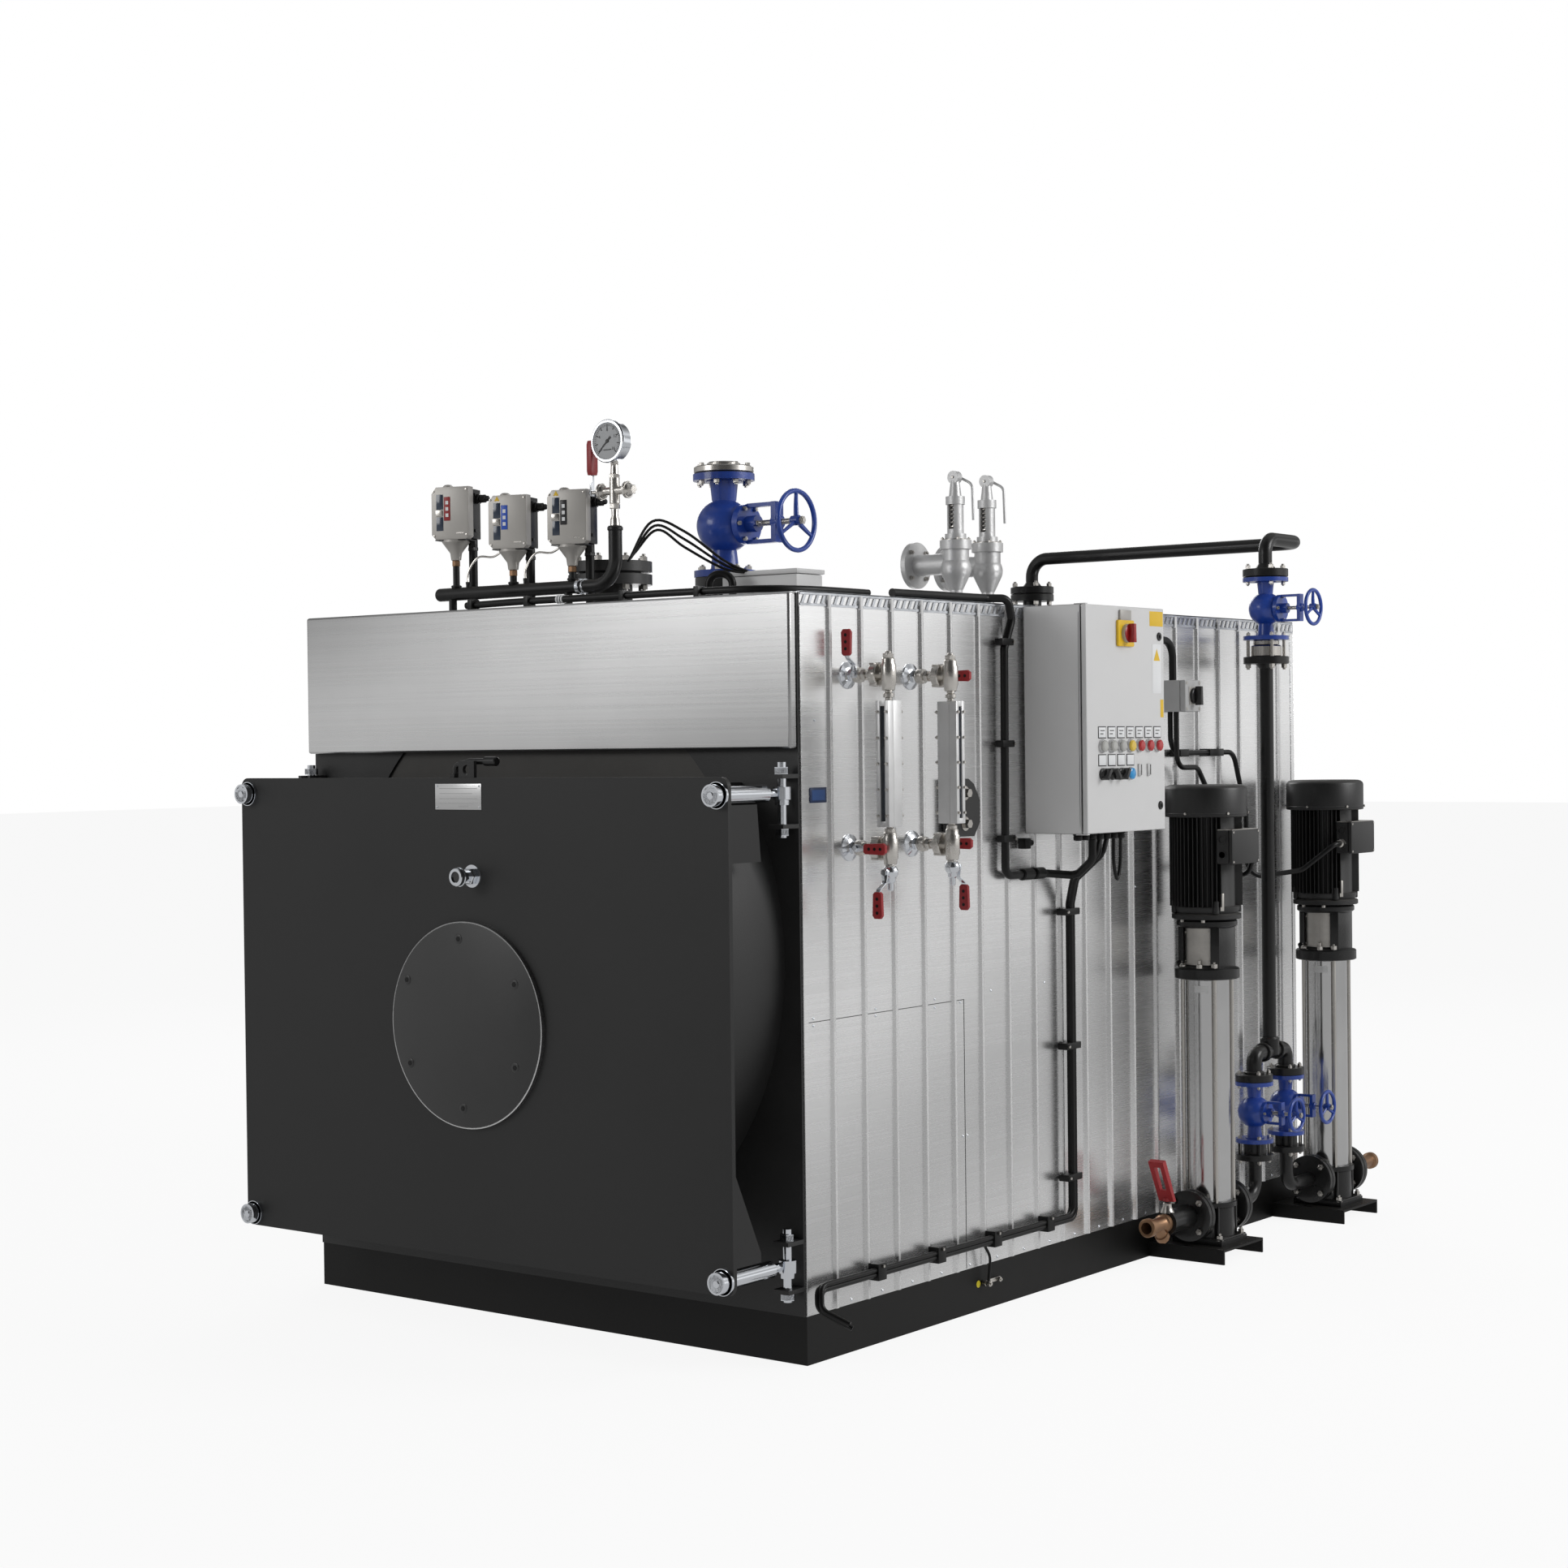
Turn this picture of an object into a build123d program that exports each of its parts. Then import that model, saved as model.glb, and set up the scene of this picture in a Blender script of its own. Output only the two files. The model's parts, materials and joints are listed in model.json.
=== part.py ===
"""Packaged steam boiler with hinged front door, valves, gauges, control cabinet and two feed pumps.

Millimetres. X runs across the boiler towards the cabinet side, Y runs from the front to the
back and Z is up. The origin is on the floor under the middle of the casing. Depths are given
from the front wall with back().
"""
import math
import os

from build123d import *

# Pressure vessel, casing and base frame
vessel_radius = 880
vessel_wall = 16
tube_plate = 20
tube_recess = 12
tube_radius = 29
furnace_radius = 300
furnace_drop = 205
side_gap = 124
low_gap = 130
roof_gap = 170
plinth_height = 140
plinth_flange = 90
plinth_plate = 10
casing_length = 3050
cladding = 3
rib_pitch = 155
rib_first = 137
rib_height = 9
rib_foot = 24
rib_crest = 12
wall_plate = 8
hood_depth = 41
hood_gap = 95

# Smokebox, measured from the vessel's axis, and front door
smokebox_margin = 59
smokebox_wall = 12
smokebox_depth = 300
smokebox_rise = 510
smokebox_fall = 875
door_plate = 15
door_gap = 5
seal_board = 5
door_margin = 4
door_overlap_top = 20
door_overlap_low = 25
plug_margin = 155
plug_depth = 60
burner_hole = 250
burner_radius = 308
rod_inset = 35
rod_from_top = 50
rod_from_low = 40
sleeve_radius = 25
pin_offset = 10
pin_back = -50
pin_radius = 13
running_gap = 0.05

# Roof fittings on the centre line: depths from the front wall or the rear, heights above the roof
handhole_back = 335
steam_back = 913
safety_from_rear = 757
safety_pitch = 216
feed_from_rear = 225
feed_run_rise = 280
manifold_back = 120
manifold_rise = 62
manifold_radius = 21
manifold_left = -544
gauge_x = 212
gauge_riser = 240
switch_first_x = -467
switch_pitch = 251
steam_rise = 127
steam_length = 344
feed_rise = 140
feed_length = 221

# Pumps and their pipework
pump_gap = 156
pump_pitch = 910
pump_from_rear = 60
pump_valve_offset = 120
frame_height = 50
frame_half = 141
frame_margin = 130
frame_plate = 8
riser_radius = 24

# Side fittings
gauge_column_gap = 146
gauge_one_back = 228
gauge_two_back = 545
gauge_drop = 234
gauge_span = 500
cabinet_back = 1163
cabinet_width = 490
cabinet_depth = 240
cabinet_drop = 3
cabinet_height = 722
cabinet_door = 18
cabinet_gap = 5
cabinet_ear = 3
hinge_inset = 9
isolator_drop = 282

half_width = vessel_radius + side_gap
half_length = casing_length / 2
crest_x = half_width + rib_height
vessel_z = plinth_height + low_gap + vessel_radius
casing_height = vessel_z + vessel_radius + roof_gap
furnace_z = vessel_z - furnace_drop
smokebox_radius = half_width - smokebox_margin
smokebox_top = vessel_z + smokebox_rise
smokebox_low = vessel_z - smokebox_fall
hood_low = smokebox_top + hood_gap
door_half_width = half_width - door_margin
door_top = smokebox_top + door_overlap_top
door_low = smokebox_low - door_overlap_low
plug_radius = smokebox_radius - plug_margin
rod_x = door_half_width - rod_inset
rod_upper_z = door_top - rod_from_top
rod_lower_z = door_low + rod_from_low
pin_x = rod_x + pin_offset
manifold_z = casing_height + manifold_rise
riser_top = casing_height + gauge_riser
safety_back = casing_length - safety_from_rear
feed_back = casing_length - feed_from_rear
feed_run_z = casing_height + feed_run_rise
pump_x = half_width + pump_gap
pump_rear_back = casing_length - pump_from_rear
pump_front_back = pump_rear_back - pump_pitch
pump_middle = (pump_front_back + pump_rear_back) / 2
frame_reach = pump_x + frame_margin
gauge_column_x = half_width + gauge_column_gap
gauge_top_z = casing_height - gauge_drop
gauge_low_z = gauge_top_z - gauge_span
cabinet_top = casing_height - cabinet_drop
cabinet_low = cabinet_top - cabinet_height
isolator_z = casing_height - isolator_drop

turned = {"x": (0, 90, 0), "y": (-90, 0, 0), "z": (0, 0, 0)}
on_end = (Align.CENTER, Align.CENTER, Align.MIN)


def back(depth):
    """Row Y of a depth measured from the front wall."""
    return depth - half_length


def bar(x, y, z, axis, length, radius, mode=Mode.ADD):
    """Round bar that starts at a point and runs along an axis."""
    with Locations(Location((x, y, z), turned[axis])):
        Cylinder(radius, length, align=on_end, mode=mode)


def taper(x, y, z, axis, length, first, last, mode=Mode.ADD):
    """Tapered round bar that starts at a point and runs along an axis."""
    with Locations(Location((x, y, z), turned[axis])):
        Cone(first, last, length, align=on_end, mode=mode)


def block(x0, x1, y0, y1, z0, z1, mode=Mode.ADD):
    """Rectangular block between two corners."""
    with Locations(((x0 + x1) / 2, (y0 + y1) / 2, (z0 + z1) / 2)):
        Box(x1 - x0, y1 - y0, z1 - z0, mode=mode)


def hex_bar(x, y, z, axis, length, radius):
    """Hexagonal bar that starts at a point and runs along an axis."""
    with BuildPart() as nut:
        with BuildSketch():
            RegularPolygon(radius, 6)
        extrude(amount=length)
    add(nut.part.moved(Location((x, y, z), turned[axis])))


def pipe(points, radius, bend):
    """Bent pipe through the given points."""
    with BuildPart() as run:
        with BuildLine() as path:
            FilletPolyline(*points, radius=bend)
        with BuildSketch(Plane(origin=path.line @ 0, z_dir=path.line % 0)):
            Circle(radius)
        sweep(path=path.line)
    return run.part


def plate_yz(points, x0, thickness):
    """Flat plate across X with an outline in Y and Z."""
    with BuildPart() as plate:
        with BuildSketch(Plane(origin=(x0, 0, 0), x_dir=(0, 1, 0), z_dir=(1, 0, 0))):
            with BuildLine():
                Polyline(*points, close=True)
            make_face()
        extrude(amount=thickness)
    return plate.part


def ring_of_bars(x, y, z, axis, length, circle, count, radius, mode=Mode.ADD):
    """Circle of equal bars around an axis through a point."""
    with Locations(Location((x, y, z), turned[axis])):
        with PolarLocations(circle, count, start_angle=180 / count):
            Cylinder(radius, length, align=on_end, mode=mode)


def handwheel(x, y, z, rim, wire, hub, depth):
    """Handwheel with three spokes, its hub along X."""
    with BuildPart() as wheel:
        with Locations(Location((x, y, z), turned["x"])):
            Torus(rim, wire)
        bar(x - depth / 2, y, z, "x", depth, hub)
        for turn in range(3):
            angle = math.radians(90 + turn * 120)
            spoke = Vector(0, math.cos(angle), math.sin(angle))
            start = Vector(x, y, z)
            with Locations(Plane(origin=start, z_dir=spoke).location):
                Cylinder(wire * 0.75, rim, align=on_end)
    return wheel.part


def valve_body(x, y, low, top, flange, neck, bonnet_end, boss, spindle, yoke):
    """Globe valve along Z, its bonnet and a yoke with an arm above and below pointing to +X."""
    middle = (low + top) / 2
    span = top - low
    plate = span * 0.065
    waist = span * 0.26
    bonnet_start = x + (bonnet_end - x) * 0.36
    gland_start = bonnet_start + plate
    gland_end = gland_start + (bonnet_end - gland_start) * 0.3
    with BuildPart() as body:
        with BuildSketch(Plane.XZ):
            with BuildLine():
                Polyline((neck * 0.85, top - waist), (neck, top - plate), (flange, top - plate),
                         (flange, top), (0, top),
                         (0, low), (flange, low), (flange, low + plate), (neck, low + plate),
                         (neck * 0.85, low + waist))
                ThreePointArc((neck * 0.85, low + waist), (span * 0.27, middle), (neck * 0.85, top - waist))
            make_face()
        revolve(axis=Axis.Z)
    with BuildPart() as valve:
        add(body.part.moved(Location((x, y, 0))))
        bar(x, y, middle, "x", bonnet_start - x + 1, neck * 0.93)
        bar(bonnet_start, y, middle, "x", plate, max(neck * 1.3, yoke))
        bar(gland_start - 1, y, middle, "x", gland_end - gland_start + 1, boss * 1.25)
        for side in (-1, 1):
            arm = middle + side * (yoke - boss * 0.3)
            block(gland_start - 1, bonnet_end - 1, y - boss * 0.6, y + boss * 0.6,
                  arm - boss * 0.3, arm + boss * 0.3)
        block(bonnet_end - boss * 0.85, bonnet_end, y - boss, y + boss, middle - yoke, middle + yoke)
        bar(gland_start, y, middle, "x", bonnet_end - gland_start, spindle + running_gap, mode=Mode.SUBTRACT)
    return valve.part


def valve_wheel(x, y, z, bonnet_end, wheel_x, rim, wire, hub, spindle):
    """Handwheel with the spindle that turns in the bonnet and yoke."""
    with BuildPart() as wheel:
        add(handwheel(wheel_x, y, z, rim, wire, hub, hub * 2.2))
        spindle_start = x + (bonnet_end - x) * 0.5
        bar(spindle_start, y, z, "x", wheel_x + hub * 2 - spindle_start, spindle)
    return wheel.part


# Base frame: outer channel, a cross-member under the middle and the pump feet
with BuildPart() as plinth:
    block(-half_width, half_width, back(0), back(casing_length), 0, plinth_height)
    block(-half_width + plinth_plate, half_width - plinth_plate, back(plinth_plate),
          back(casing_length - plinth_plate),
          plinth_plate, plinth_height - plinth_plate, mode=Mode.SUBTRACT)
    for start, end in ((plinth_flange, half_length - plinth_flange / 2),
                       (half_length + plinth_flange / 2, casing_length - plinth_flange)):
        block(-half_width + plinth_flange, half_width - plinth_flange, back(start), back(end),
              0, plinth_height, mode=Mode.SUBTRACT)
    block(-half_width + plinth_plate, half_width - plinth_plate, -plinth_plate / 2, plinth_plate / 2,
          plinth_plate, plinth_height - plinth_plate)
    for middle in (pump_front_back, pump_rear_back):
        block(half_width - 2, frame_reach, back(middle - frame_half), back(middle + frame_half), 0,
              frame_height)
        block(half_width, frame_reach, back(middle - frame_half + frame_plate),
              back(middle + frame_half - frame_plate),
              0, frame_height - frame_plate, mode=Mode.SUBTRACT)
plinth.part.label = "plinth"

# Ribbed side cladding, right and left
rib_count = int((casing_length - 2 * rib_first) / rib_pitch) + 1
with BuildPart() as side_cladding:
    for side in (1, -1):
        face = side * half_width
        block(min(face, face - side * cladding), max(face, face - side * cladding),
              back(0), back(casing_length), plinth_height, casing_height)
        for rib in range(rib_count):
            middle = back(rib_first + rib * rib_pitch)
            with BuildSketch(Plane.XY.offset(plinth_height + 2)):
                with BuildLine():
                    Polyline((face - side, middle - rib_foot / 2), (face, middle - rib_foot / 2),
                             (face + side * rib_height, middle - rib_crest / 2),
                             (face + side * rib_height, middle + rib_crest / 2),
                             (face, middle + rib_foot / 2), (face - side, middle + rib_foot / 2), close=True)
                make_face()
            extrude(amount=casing_height - plinth_height - 45)
side_cladding.part.label = "side_cladding"

# Rear cladding with the flue opening, and the roof sheet
flue_z = vessel_z + 410
flue_radius = 150
inner_half = half_width - cladding
with BuildPart() as rear_cladding:
    block(-inner_half, inner_half, back(casing_length - cladding), back(casing_length), plinth_height,
          casing_height - cladding)
    bar(0, back(casing_length - cladding), flue_z, "y", cladding, flue_radius, mode=Mode.SUBTRACT)
rear_cladding.part.label = "rear_cladding"

with BuildPart() as roof_cladding:
    block(-inner_half, inner_half, back(-wall_plate), back(casing_length), casing_height - cladding,
          casing_height)
roof_cladding.part.label = "roof_cladding"

# Flue outlet stub with its flange
with BuildPart() as flue_outlet:
    bar(0, back(casing_length - 90), flue_z, "y", 210, flue_radius - 1)
    bar(0, back(casing_length + 108), flue_z, "y", 12, flue_radius + 45)
    bar(0, back(casing_length), flue_z, "y", 6, flue_radius + 20)
    bar(0, back(casing_length - 90), flue_z, "y", 210, flue_radius - 7, mode=Mode.SUBTRACT)
    ring_of_bars(0, back(casing_length + 108), flue_z, "y", 12, flue_radius + 26, 12, 7, mode=Mode.SUBTRACT)
flue_outlet.part.label = "flue_outlet"

# Front wall with hinge lugs on the right and open latch lugs on the left
lug_upper = (rod_upper_z - 100, rod_upper_z + 42)
lug_lower = (rod_lower_z - 76, rod_lower_z + 60)
lug_plate = 12
lug_half = 30
lug_reach = -pin_back + lug_half
with BuildPart() as front_wall:
    block(-inner_half, inner_half, back(-wall_plate), back(0), plinth_height, casing_height - cladding)
    bar(0, back(-wall_plate), vessel_z, "y", wall_plate, vessel_radius - vessel_wall - 20, mode=Mode.SUBTRACT)
    for side in (1, -1):
        for low in lug_upper + lug_lower:
            block(side * pin_x - lug_half, side * pin_x + lug_half - 4, back(-lug_reach), back(-wall_plate),
                  low, low + lug_plate)
            if side > 0:
                bar(pin_x, back(pin_back), low, "z", lug_plate, pin_radius + 0.2, mode=Mode.SUBTRACT)
            else:
                bar(-pin_x, back(pin_back), low, "z", lug_plate, pin_radius + 3, mode=Mode.SUBTRACT)
                block(-pin_x - pin_radius - 3, -pin_x + pin_radius + 3, back(-lug_reach), back(pin_back),
                      low, low + lug_plate, mode=Mode.SUBTRACT)
front_wall.part.label = "front_wall"

# Hood over the top of the front wall
with BuildPart() as front_hood:
    block(-door_half_width, door_half_width, back(-hood_depth), back(-wall_plate), hood_low, casing_height)
    block(-door_half_width + cladding, door_half_width - cladding, back(-hood_depth + cladding),
          back(-wall_plate),
          hood_low + cladding, casing_height - cladding, mode=Mode.SUBTRACT)
front_hood.part.label = "front_hood"

# Pressure vessel with front tube plate, furnace tube and saddles
vessel_end = casing_length - 120
with BuildPart() as boiler_vessel:
    bar(0, back(0), vessel_z, "y", vessel_end, vessel_radius)
    for saddle in (500, casing_length - 700):
        block(-520, 520, back(saddle), back(saddle + 60), plinth_height + 20, vessel_z - vessel_radius + 190)
        block(-half_width + 30, half_width - 30, back(saddle), back(saddle + 60), plinth_height,
              plinth_height + 40)
    bar(0, back(tube_plate), vessel_z, "y", vessel_end - 2 * tube_plate, vessel_radius - vessel_wall,
        mode=Mode.SUBTRACT)
    bar(0, back(1), furnace_z, "y", vessel_end - 380, furnace_radius + 14)
    bar(0, back(0), furnace_z, "y", vessel_end - 400, furnace_radius, mode=Mode.SUBTRACT)
    for row, circle in enumerate((400, 490, 580)):
        tubes = 9 + row * 2
        for tube in range(tubes):
            angle = math.radians(35 + tube * 110 / (tubes - 1))
            bar(circle * math.cos(angle), back(0), furnace_z + circle * math.sin(angle), "y", tube_recess,
                tube_radius,
                mode=Mode.SUBTRACT)
boiler_vessel.part.label = "boiler_vessel"


def smokebox_outline(radius, low, top):
    """Face of the smokebox: a circle cut flat above and below."""
    with BuildSketch(Plane(origin=(0, back(-wall_plate), 0), x_dir=(1, 0, 0), z_dir=(0, -1, 0))) as outline:
        with Locations((0, vessel_z)):
            Circle(radius)
        with Locations((0, (low + top) / 2)):
            Rectangle(radius * 2.2, top - low, mode=Mode.INTERSECT)
    return outline.sketch


with BuildPart() as smokebox:
    extrude(smokebox_outline(smokebox_radius, smokebox_low, smokebox_top), amount=smokebox_depth - wall_plate)
    extrude(smokebox_outline(smokebox_radius - smokebox_wall, smokebox_low + smokebox_wall,
                             smokebox_top - smokebox_wall),
            amount=smokebox_depth - wall_plate, mode=Mode.SUBTRACT)
smokebox.part.label = "smokebox"

# Hinge pins on the right, with nuts outside the lugs and a collar under each eye
eye_half = 18


def door_pin(x, low, top, rest, clear):
    """Vertical pin through two lugs with a collar under the eye."""
    y = back(pin_back)
    bar(x, y, low - 26, "z", top - low + lug_plate + 60, pin_radius)
    hex_bar(x, y, top + lug_plate + clear, "z", 20, 22)
    hex_bar(x, y, low - 20 - clear, "z", 20, 22)
    bar(x, y, rest - 14, "z", 14, 21)


with BuildPart() as hinge_pins:
    door_pin(pin_x, lug_upper[0], lug_upper[1], rod_upper_z - eye_half - 1, 0)
    door_pin(pin_x, lug_lower[0], lug_lower[1], rod_lower_z - eye_half - 1, 0)
hinge_pins.part.label = "hinge_pins"

# Front door plate with gussets and lifting lug
door_rear = smokebox_depth + door_gap + seal_board
door_front = door_rear + door_plate
with BuildPart() as front_door:
    block(-door_half_width, door_half_width, back(-door_front), back(-door_rear), door_low, door_top)
    fillet(front_door.edges().filter_by(Axis.Y), 28)
    bar(0, back(-door_front), furnace_z, "y", door_plate, burner_hole, mode=Mode.SUBTRACT)
    for side in (1, -1):
        for level in (rod_upper_z, rod_lower_z):
            bar(side * rod_x, back(-door_front), level, "y", door_plate, 16, mode=Mode.SUBTRACT)
        gusset = side * rod_x - 6
        add(plate_yz([(back(-door_rear), rod_upper_z - 190), (back(-145), rod_upper_z - 190),
                      (back(-160), rod_upper_z - sleeve_radius - 4),
                      (back(-door_rear), rod_upper_z - sleeve_radius - 4)], gusset, 12))
        add(plate_yz([(back(-door_rear), rod_lower_z + 360), (back(-165), rod_lower_z + 55),
                      (back(-165), rod_lower_z + sleeve_radius + 4),
                      (back(-door_rear), rod_lower_z + sleeve_radius + 4)], gusset, 12))
    block(-32, 32, back(-door_rear - 12), back(-door_rear), door_top - 10, door_top + 50)
    bar(0, back(-door_rear - 12), door_top + 24, "y", 12, 14, mode=Mode.SUBTRACT)
front_door.part.label = "front_door"

with BuildPart() as door_lining:
    add(extrude(smokebox_outline(smokebox_radius, smokebox_low, smokebox_top), amount=seal_board,
                mode=Mode.PRIVATE)
        .moved(Location((0, -(door_rear - wall_plate - seal_board), 0))))
    add(extrude(smokebox_outline(plug_radius, smokebox_low + 90, smokebox_top - 90), amount=plug_depth,
                mode=Mode.PRIVATE)
        .moved(Location((0, -(door_rear - wall_plate - seal_board - plug_depth), 0))))
    bar(0, back(-door_rear), furnace_z, "y", seal_board + plug_depth, burner_hole, mode=Mode.SUBTRACT)
door_lining.part.label = "door_lining"

# Corner rods: round nut and washer in front, sleeve behind, eye round the pin
with BuildPart() as door_rods:
    for side in (1, -1):
        for level in (rod_upper_z, rod_lower_z):
            x = side * rod_x
            bar(x, back(-door_front - 8), level, "y", 8, 38)
            bar(x, back(-door_front - 34), level, "y", 26, 31)
            bar(x, back(-door_front - 34), level, "y", door_plate + 60, 15)
            bar(x, back(-door_rear), level, "y", door_rear - 118, sleeve_radius)
            bar(x, back(-118), level, "y", 118 + pin_back - pin_radius - 6, 13)
            bar(side * pin_x, back(pin_back), level - eye_half, "z", 2 * eye_half, pin_radius + 13)
    for level in (rod_upper_z, rod_lower_z):
        bar(pin_x, back(pin_back), level - eye_half, "z", 2 * eye_half, pin_radius + running_gap,
            mode=Mode.SUBTRACT)
    door_pin(-pin_x, lug_upper[0], lug_upper[1], rod_upper_z - eye_half, 3)
    door_pin(-pin_x, lug_lower[0], lug_lower[1], rod_lower_z - eye_half, 3)
door_rods.part.label = "door_rods"

burner_plate_thickness = 15
with BuildPart() as burner_plate:
    bar(0, back(-door_front - burner_plate_thickness), furnace_z, "y", burner_plate_thickness, burner_radius)
    chamfer(burner_plate.edges().group_by(Axis.Y)[0], 2)
burner_plate.part.label = "burner_plate"

sight_x = 23
sight_z = furnace_z + 443
with BuildPart() as sight_glass:
    bar(sight_x, back(-door_front - 55), sight_z, "y", 55, 15)
    hex_bar(sight_x, back(-door_front - 20), sight_z, "y", 20, 25)
    bar(sight_x, back(-door_front - 72), sight_z, "y", 22, 27)
    bar(sight_x, back(-door_front - 72), sight_z, "y", 6, 17, mode=Mode.SUBTRACT)
sight_glass.part.label = "sight_glass"

# Manifold of the pressure switches and the gauge riser
with BuildPart() as switch_manifold:
    add(pipe([(manifold_left, back(manifold_back), manifold_z), (gauge_x, back(manifold_back), manifold_z),
              (gauge_x, back(manifold_back), riser_top)], manifold_radius, 80))
    for x in (manifold_left + 60, manifold_left + 560):
        bar(x, back(manifold_back), casing_height, "z", manifold_z - casing_height, 13)
        bar(x, back(manifold_back), casing_height, "z", 6, 30)
    for number in range(3):
        bar(switch_first_x + number * switch_pitch, back(manifold_back), manifold_z, "z",
            manifold_radius + 40, 10)
switch_manifold.part.label = "switch_manifold"

# Pressure switches: grey cover and cone, dark rear housing
switch_width = 132
switch_height = 168
switch_turn = 18
with BuildPart() as pressure_switches:
    for number in range(3):
        x = switch_first_x + number * switch_pitch
        low = casing_height + (235 if number == 0 else 192)
        stem = manifold_z + manifold_radius + 40
        with Locations(Location((x, back(manifold_back), low), (0, 0, switch_turn))):
            with Locations((0, -22, switch_height / 2)):
                Box(switch_width, 36, switch_height)
            with Locations((0, 26, switch_height / 2)):
                Box(switch_width - 8, 60, switch_height - 8)
            with Locations(Location((switch_width / 2 - 4, 26, switch_height - 36), turned["x"])):
                Cylinder(14, 34, align=on_end)
        taper(x, back(manifold_back), low - 62, "z", 62, 17, 44)
        bar(x - 48, back(manifold_back) + 36, casing_height, "z", low + 10 - casing_height, 12)
        bar(x, back(manifold_back), stem, "z", low - 62 - stem, 11)
pressure_switches.part.label = "pressure_switches"

# Pressure gauge on its cock
gauge_z = riser_top + 256
cock_z = riser_top + 107
lever_x = gauge_x - 94
with BuildPart() as pressure_gauge:
    y = back(manifold_back)
    bar(gauge_x, y, riser_top, "z", 30, 16)
    taper(gauge_x, y, riser_top + 30, "z", 40, 12, 18)
    bar(gauge_x, y, riser_top + 65, "z", 80, 18)
    bar(gauge_x - 58, y, cock_z, "x", 96, 22)
    bar(gauge_x + 38, y, cock_z, "x", 8, 26)
    bar(lever_x, y, cock_z, "x", gauge_x - 54 - lever_x, 6)
    bar(gauge_x, y, riser_top + 145, "z", gauge_z - 54 - riser_top - 145, 9)
    hex_bar(gauge_x, y, riser_top + 160, "z", 24, 14)
    bar(gauge_x, y - 26, gauge_z, "y", 50, 60)
    bar(gauge_x, y - 32, gauge_z, "y", 12, 64)
    bar(gauge_x, y - 32, gauge_z, "y", 5, 57, mode=Mode.SUBTRACT)
    bar(gauge_x, y, gauge_z - 66, "z", 20, 8.9)
pressure_gauge.part.label = "pressure_gauge"


def lever(x, y, z, stem, reach, offset, long_way, hub=13, bore=6):
    """Cock lever: hub on a stem, bent arm and flat grip."""
    stem_vector = Vector(*stem)
    way = Vector(*long_way)
    across = stem_vector.cross(way)
    frame = Plane(origin=(x, y, z), x_dir=way, z_dir=stem_vector)
    with BuildPart(frame) as handle:
        Cylinder(hub, 8, align=on_end)
        with Locations((0, 0, 0)):
            Box(26, 14, 5, align=(Align.MIN, Align.CENTER, Align.MIN))
        with BuildSketch(Plane(origin=frame.origin, x_dir=way, z_dir=across)):
            with BuildLine():
                Polyline((20, 0), (26, 0), (50, -offset), (reach, -offset), (reach, -offset - 5),
                         (46, -offset - 5), close=True)
            make_face()
        extrude(amount=7, both=True)
        with Locations((0, 0, 0)):
            Cylinder(bore + running_gap, 8, align=on_end, mode=Mode.SUBTRACT)
    return handle.part


with BuildPart() as gauge_cock_lever:
    y = back(manifold_back)
    block(lever_x, lever_x + 7, y - 12, y + 12, cock_z - 14, cock_z + 50)
    add(plate_yz([(y - 12, cock_z + 50), (y - 16, cock_z + 158), (y + 16, cock_z + 158),
                  (y + 12, cock_z + 50)],
                 lever_x, 7))
    block(lever_x - 6, lever_x + 14, y - 16, y + 16, cock_z + 52, cock_z + 160)
    bar(lever_x, y, cock_z, "x", 7, 6 + running_gap, mode=Mode.SUBTRACT)
gauge_cock_lever.part.label = "gauge_cock_lever"

# Handhole flange pair and the nozzle of the steam valve
handhole_low = casing_height + 76
handhole_flange = 33
handhole_seal = 8
steam_low = casing_height + steam_rise
steam_top = steam_low + steam_length
with BuildPart() as roof_nozzles:
    handhole_top = handhole_low + handhole_flange + handhole_seal
    bar(0, back(handhole_back), casing_height, "z", handhole_top - casing_height, 70)
    bar(0, back(handhole_back), handhole_low, "z", handhole_flange, 133)
    bar(0, back(handhole_back), handhole_low + handhole_flange - 1, "z", handhole_seal + 2, 90)
    bar(0, back(handhole_back), handhole_top, "z", handhole_flange, 133)
    bar(0, back(steam_back), casing_height, "z", steam_rise - 40, 50)
    bar(0, back(steam_back), steam_low - 42, "z", 40, 100)
    bar(0, back(steam_back), steam_low - 2, "z", 2, 70)
roof_nozzles.part.label = "roof_nozzles"

# Steam valve on its nozzle
steam_bonnet = 232
with BuildPart() as steam_flange:
    bar(0, back(steam_back), steam_top, "z", 3, 70)
    bar(0, back(steam_back), steam_top + 3, "z", 22, 100)
    taper(0, back(steam_back), steam_top + 25, "z", 15, 56, 48)
    bar(0, back(steam_back), steam_top, "z", 40, 40, mode=Mode.SUBTRACT)
steam_flange.part.label = "steam_flange"

steam_z = (steam_low + steam_top) / 2
with BuildPart() as steam_handwheel:
    add(valve_wheel(0, back(steam_back), steam_z, steam_bonnet, 303, 97, 8, 16, 10))
steam_handwheel.part.label = "steam_handwheel"

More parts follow.
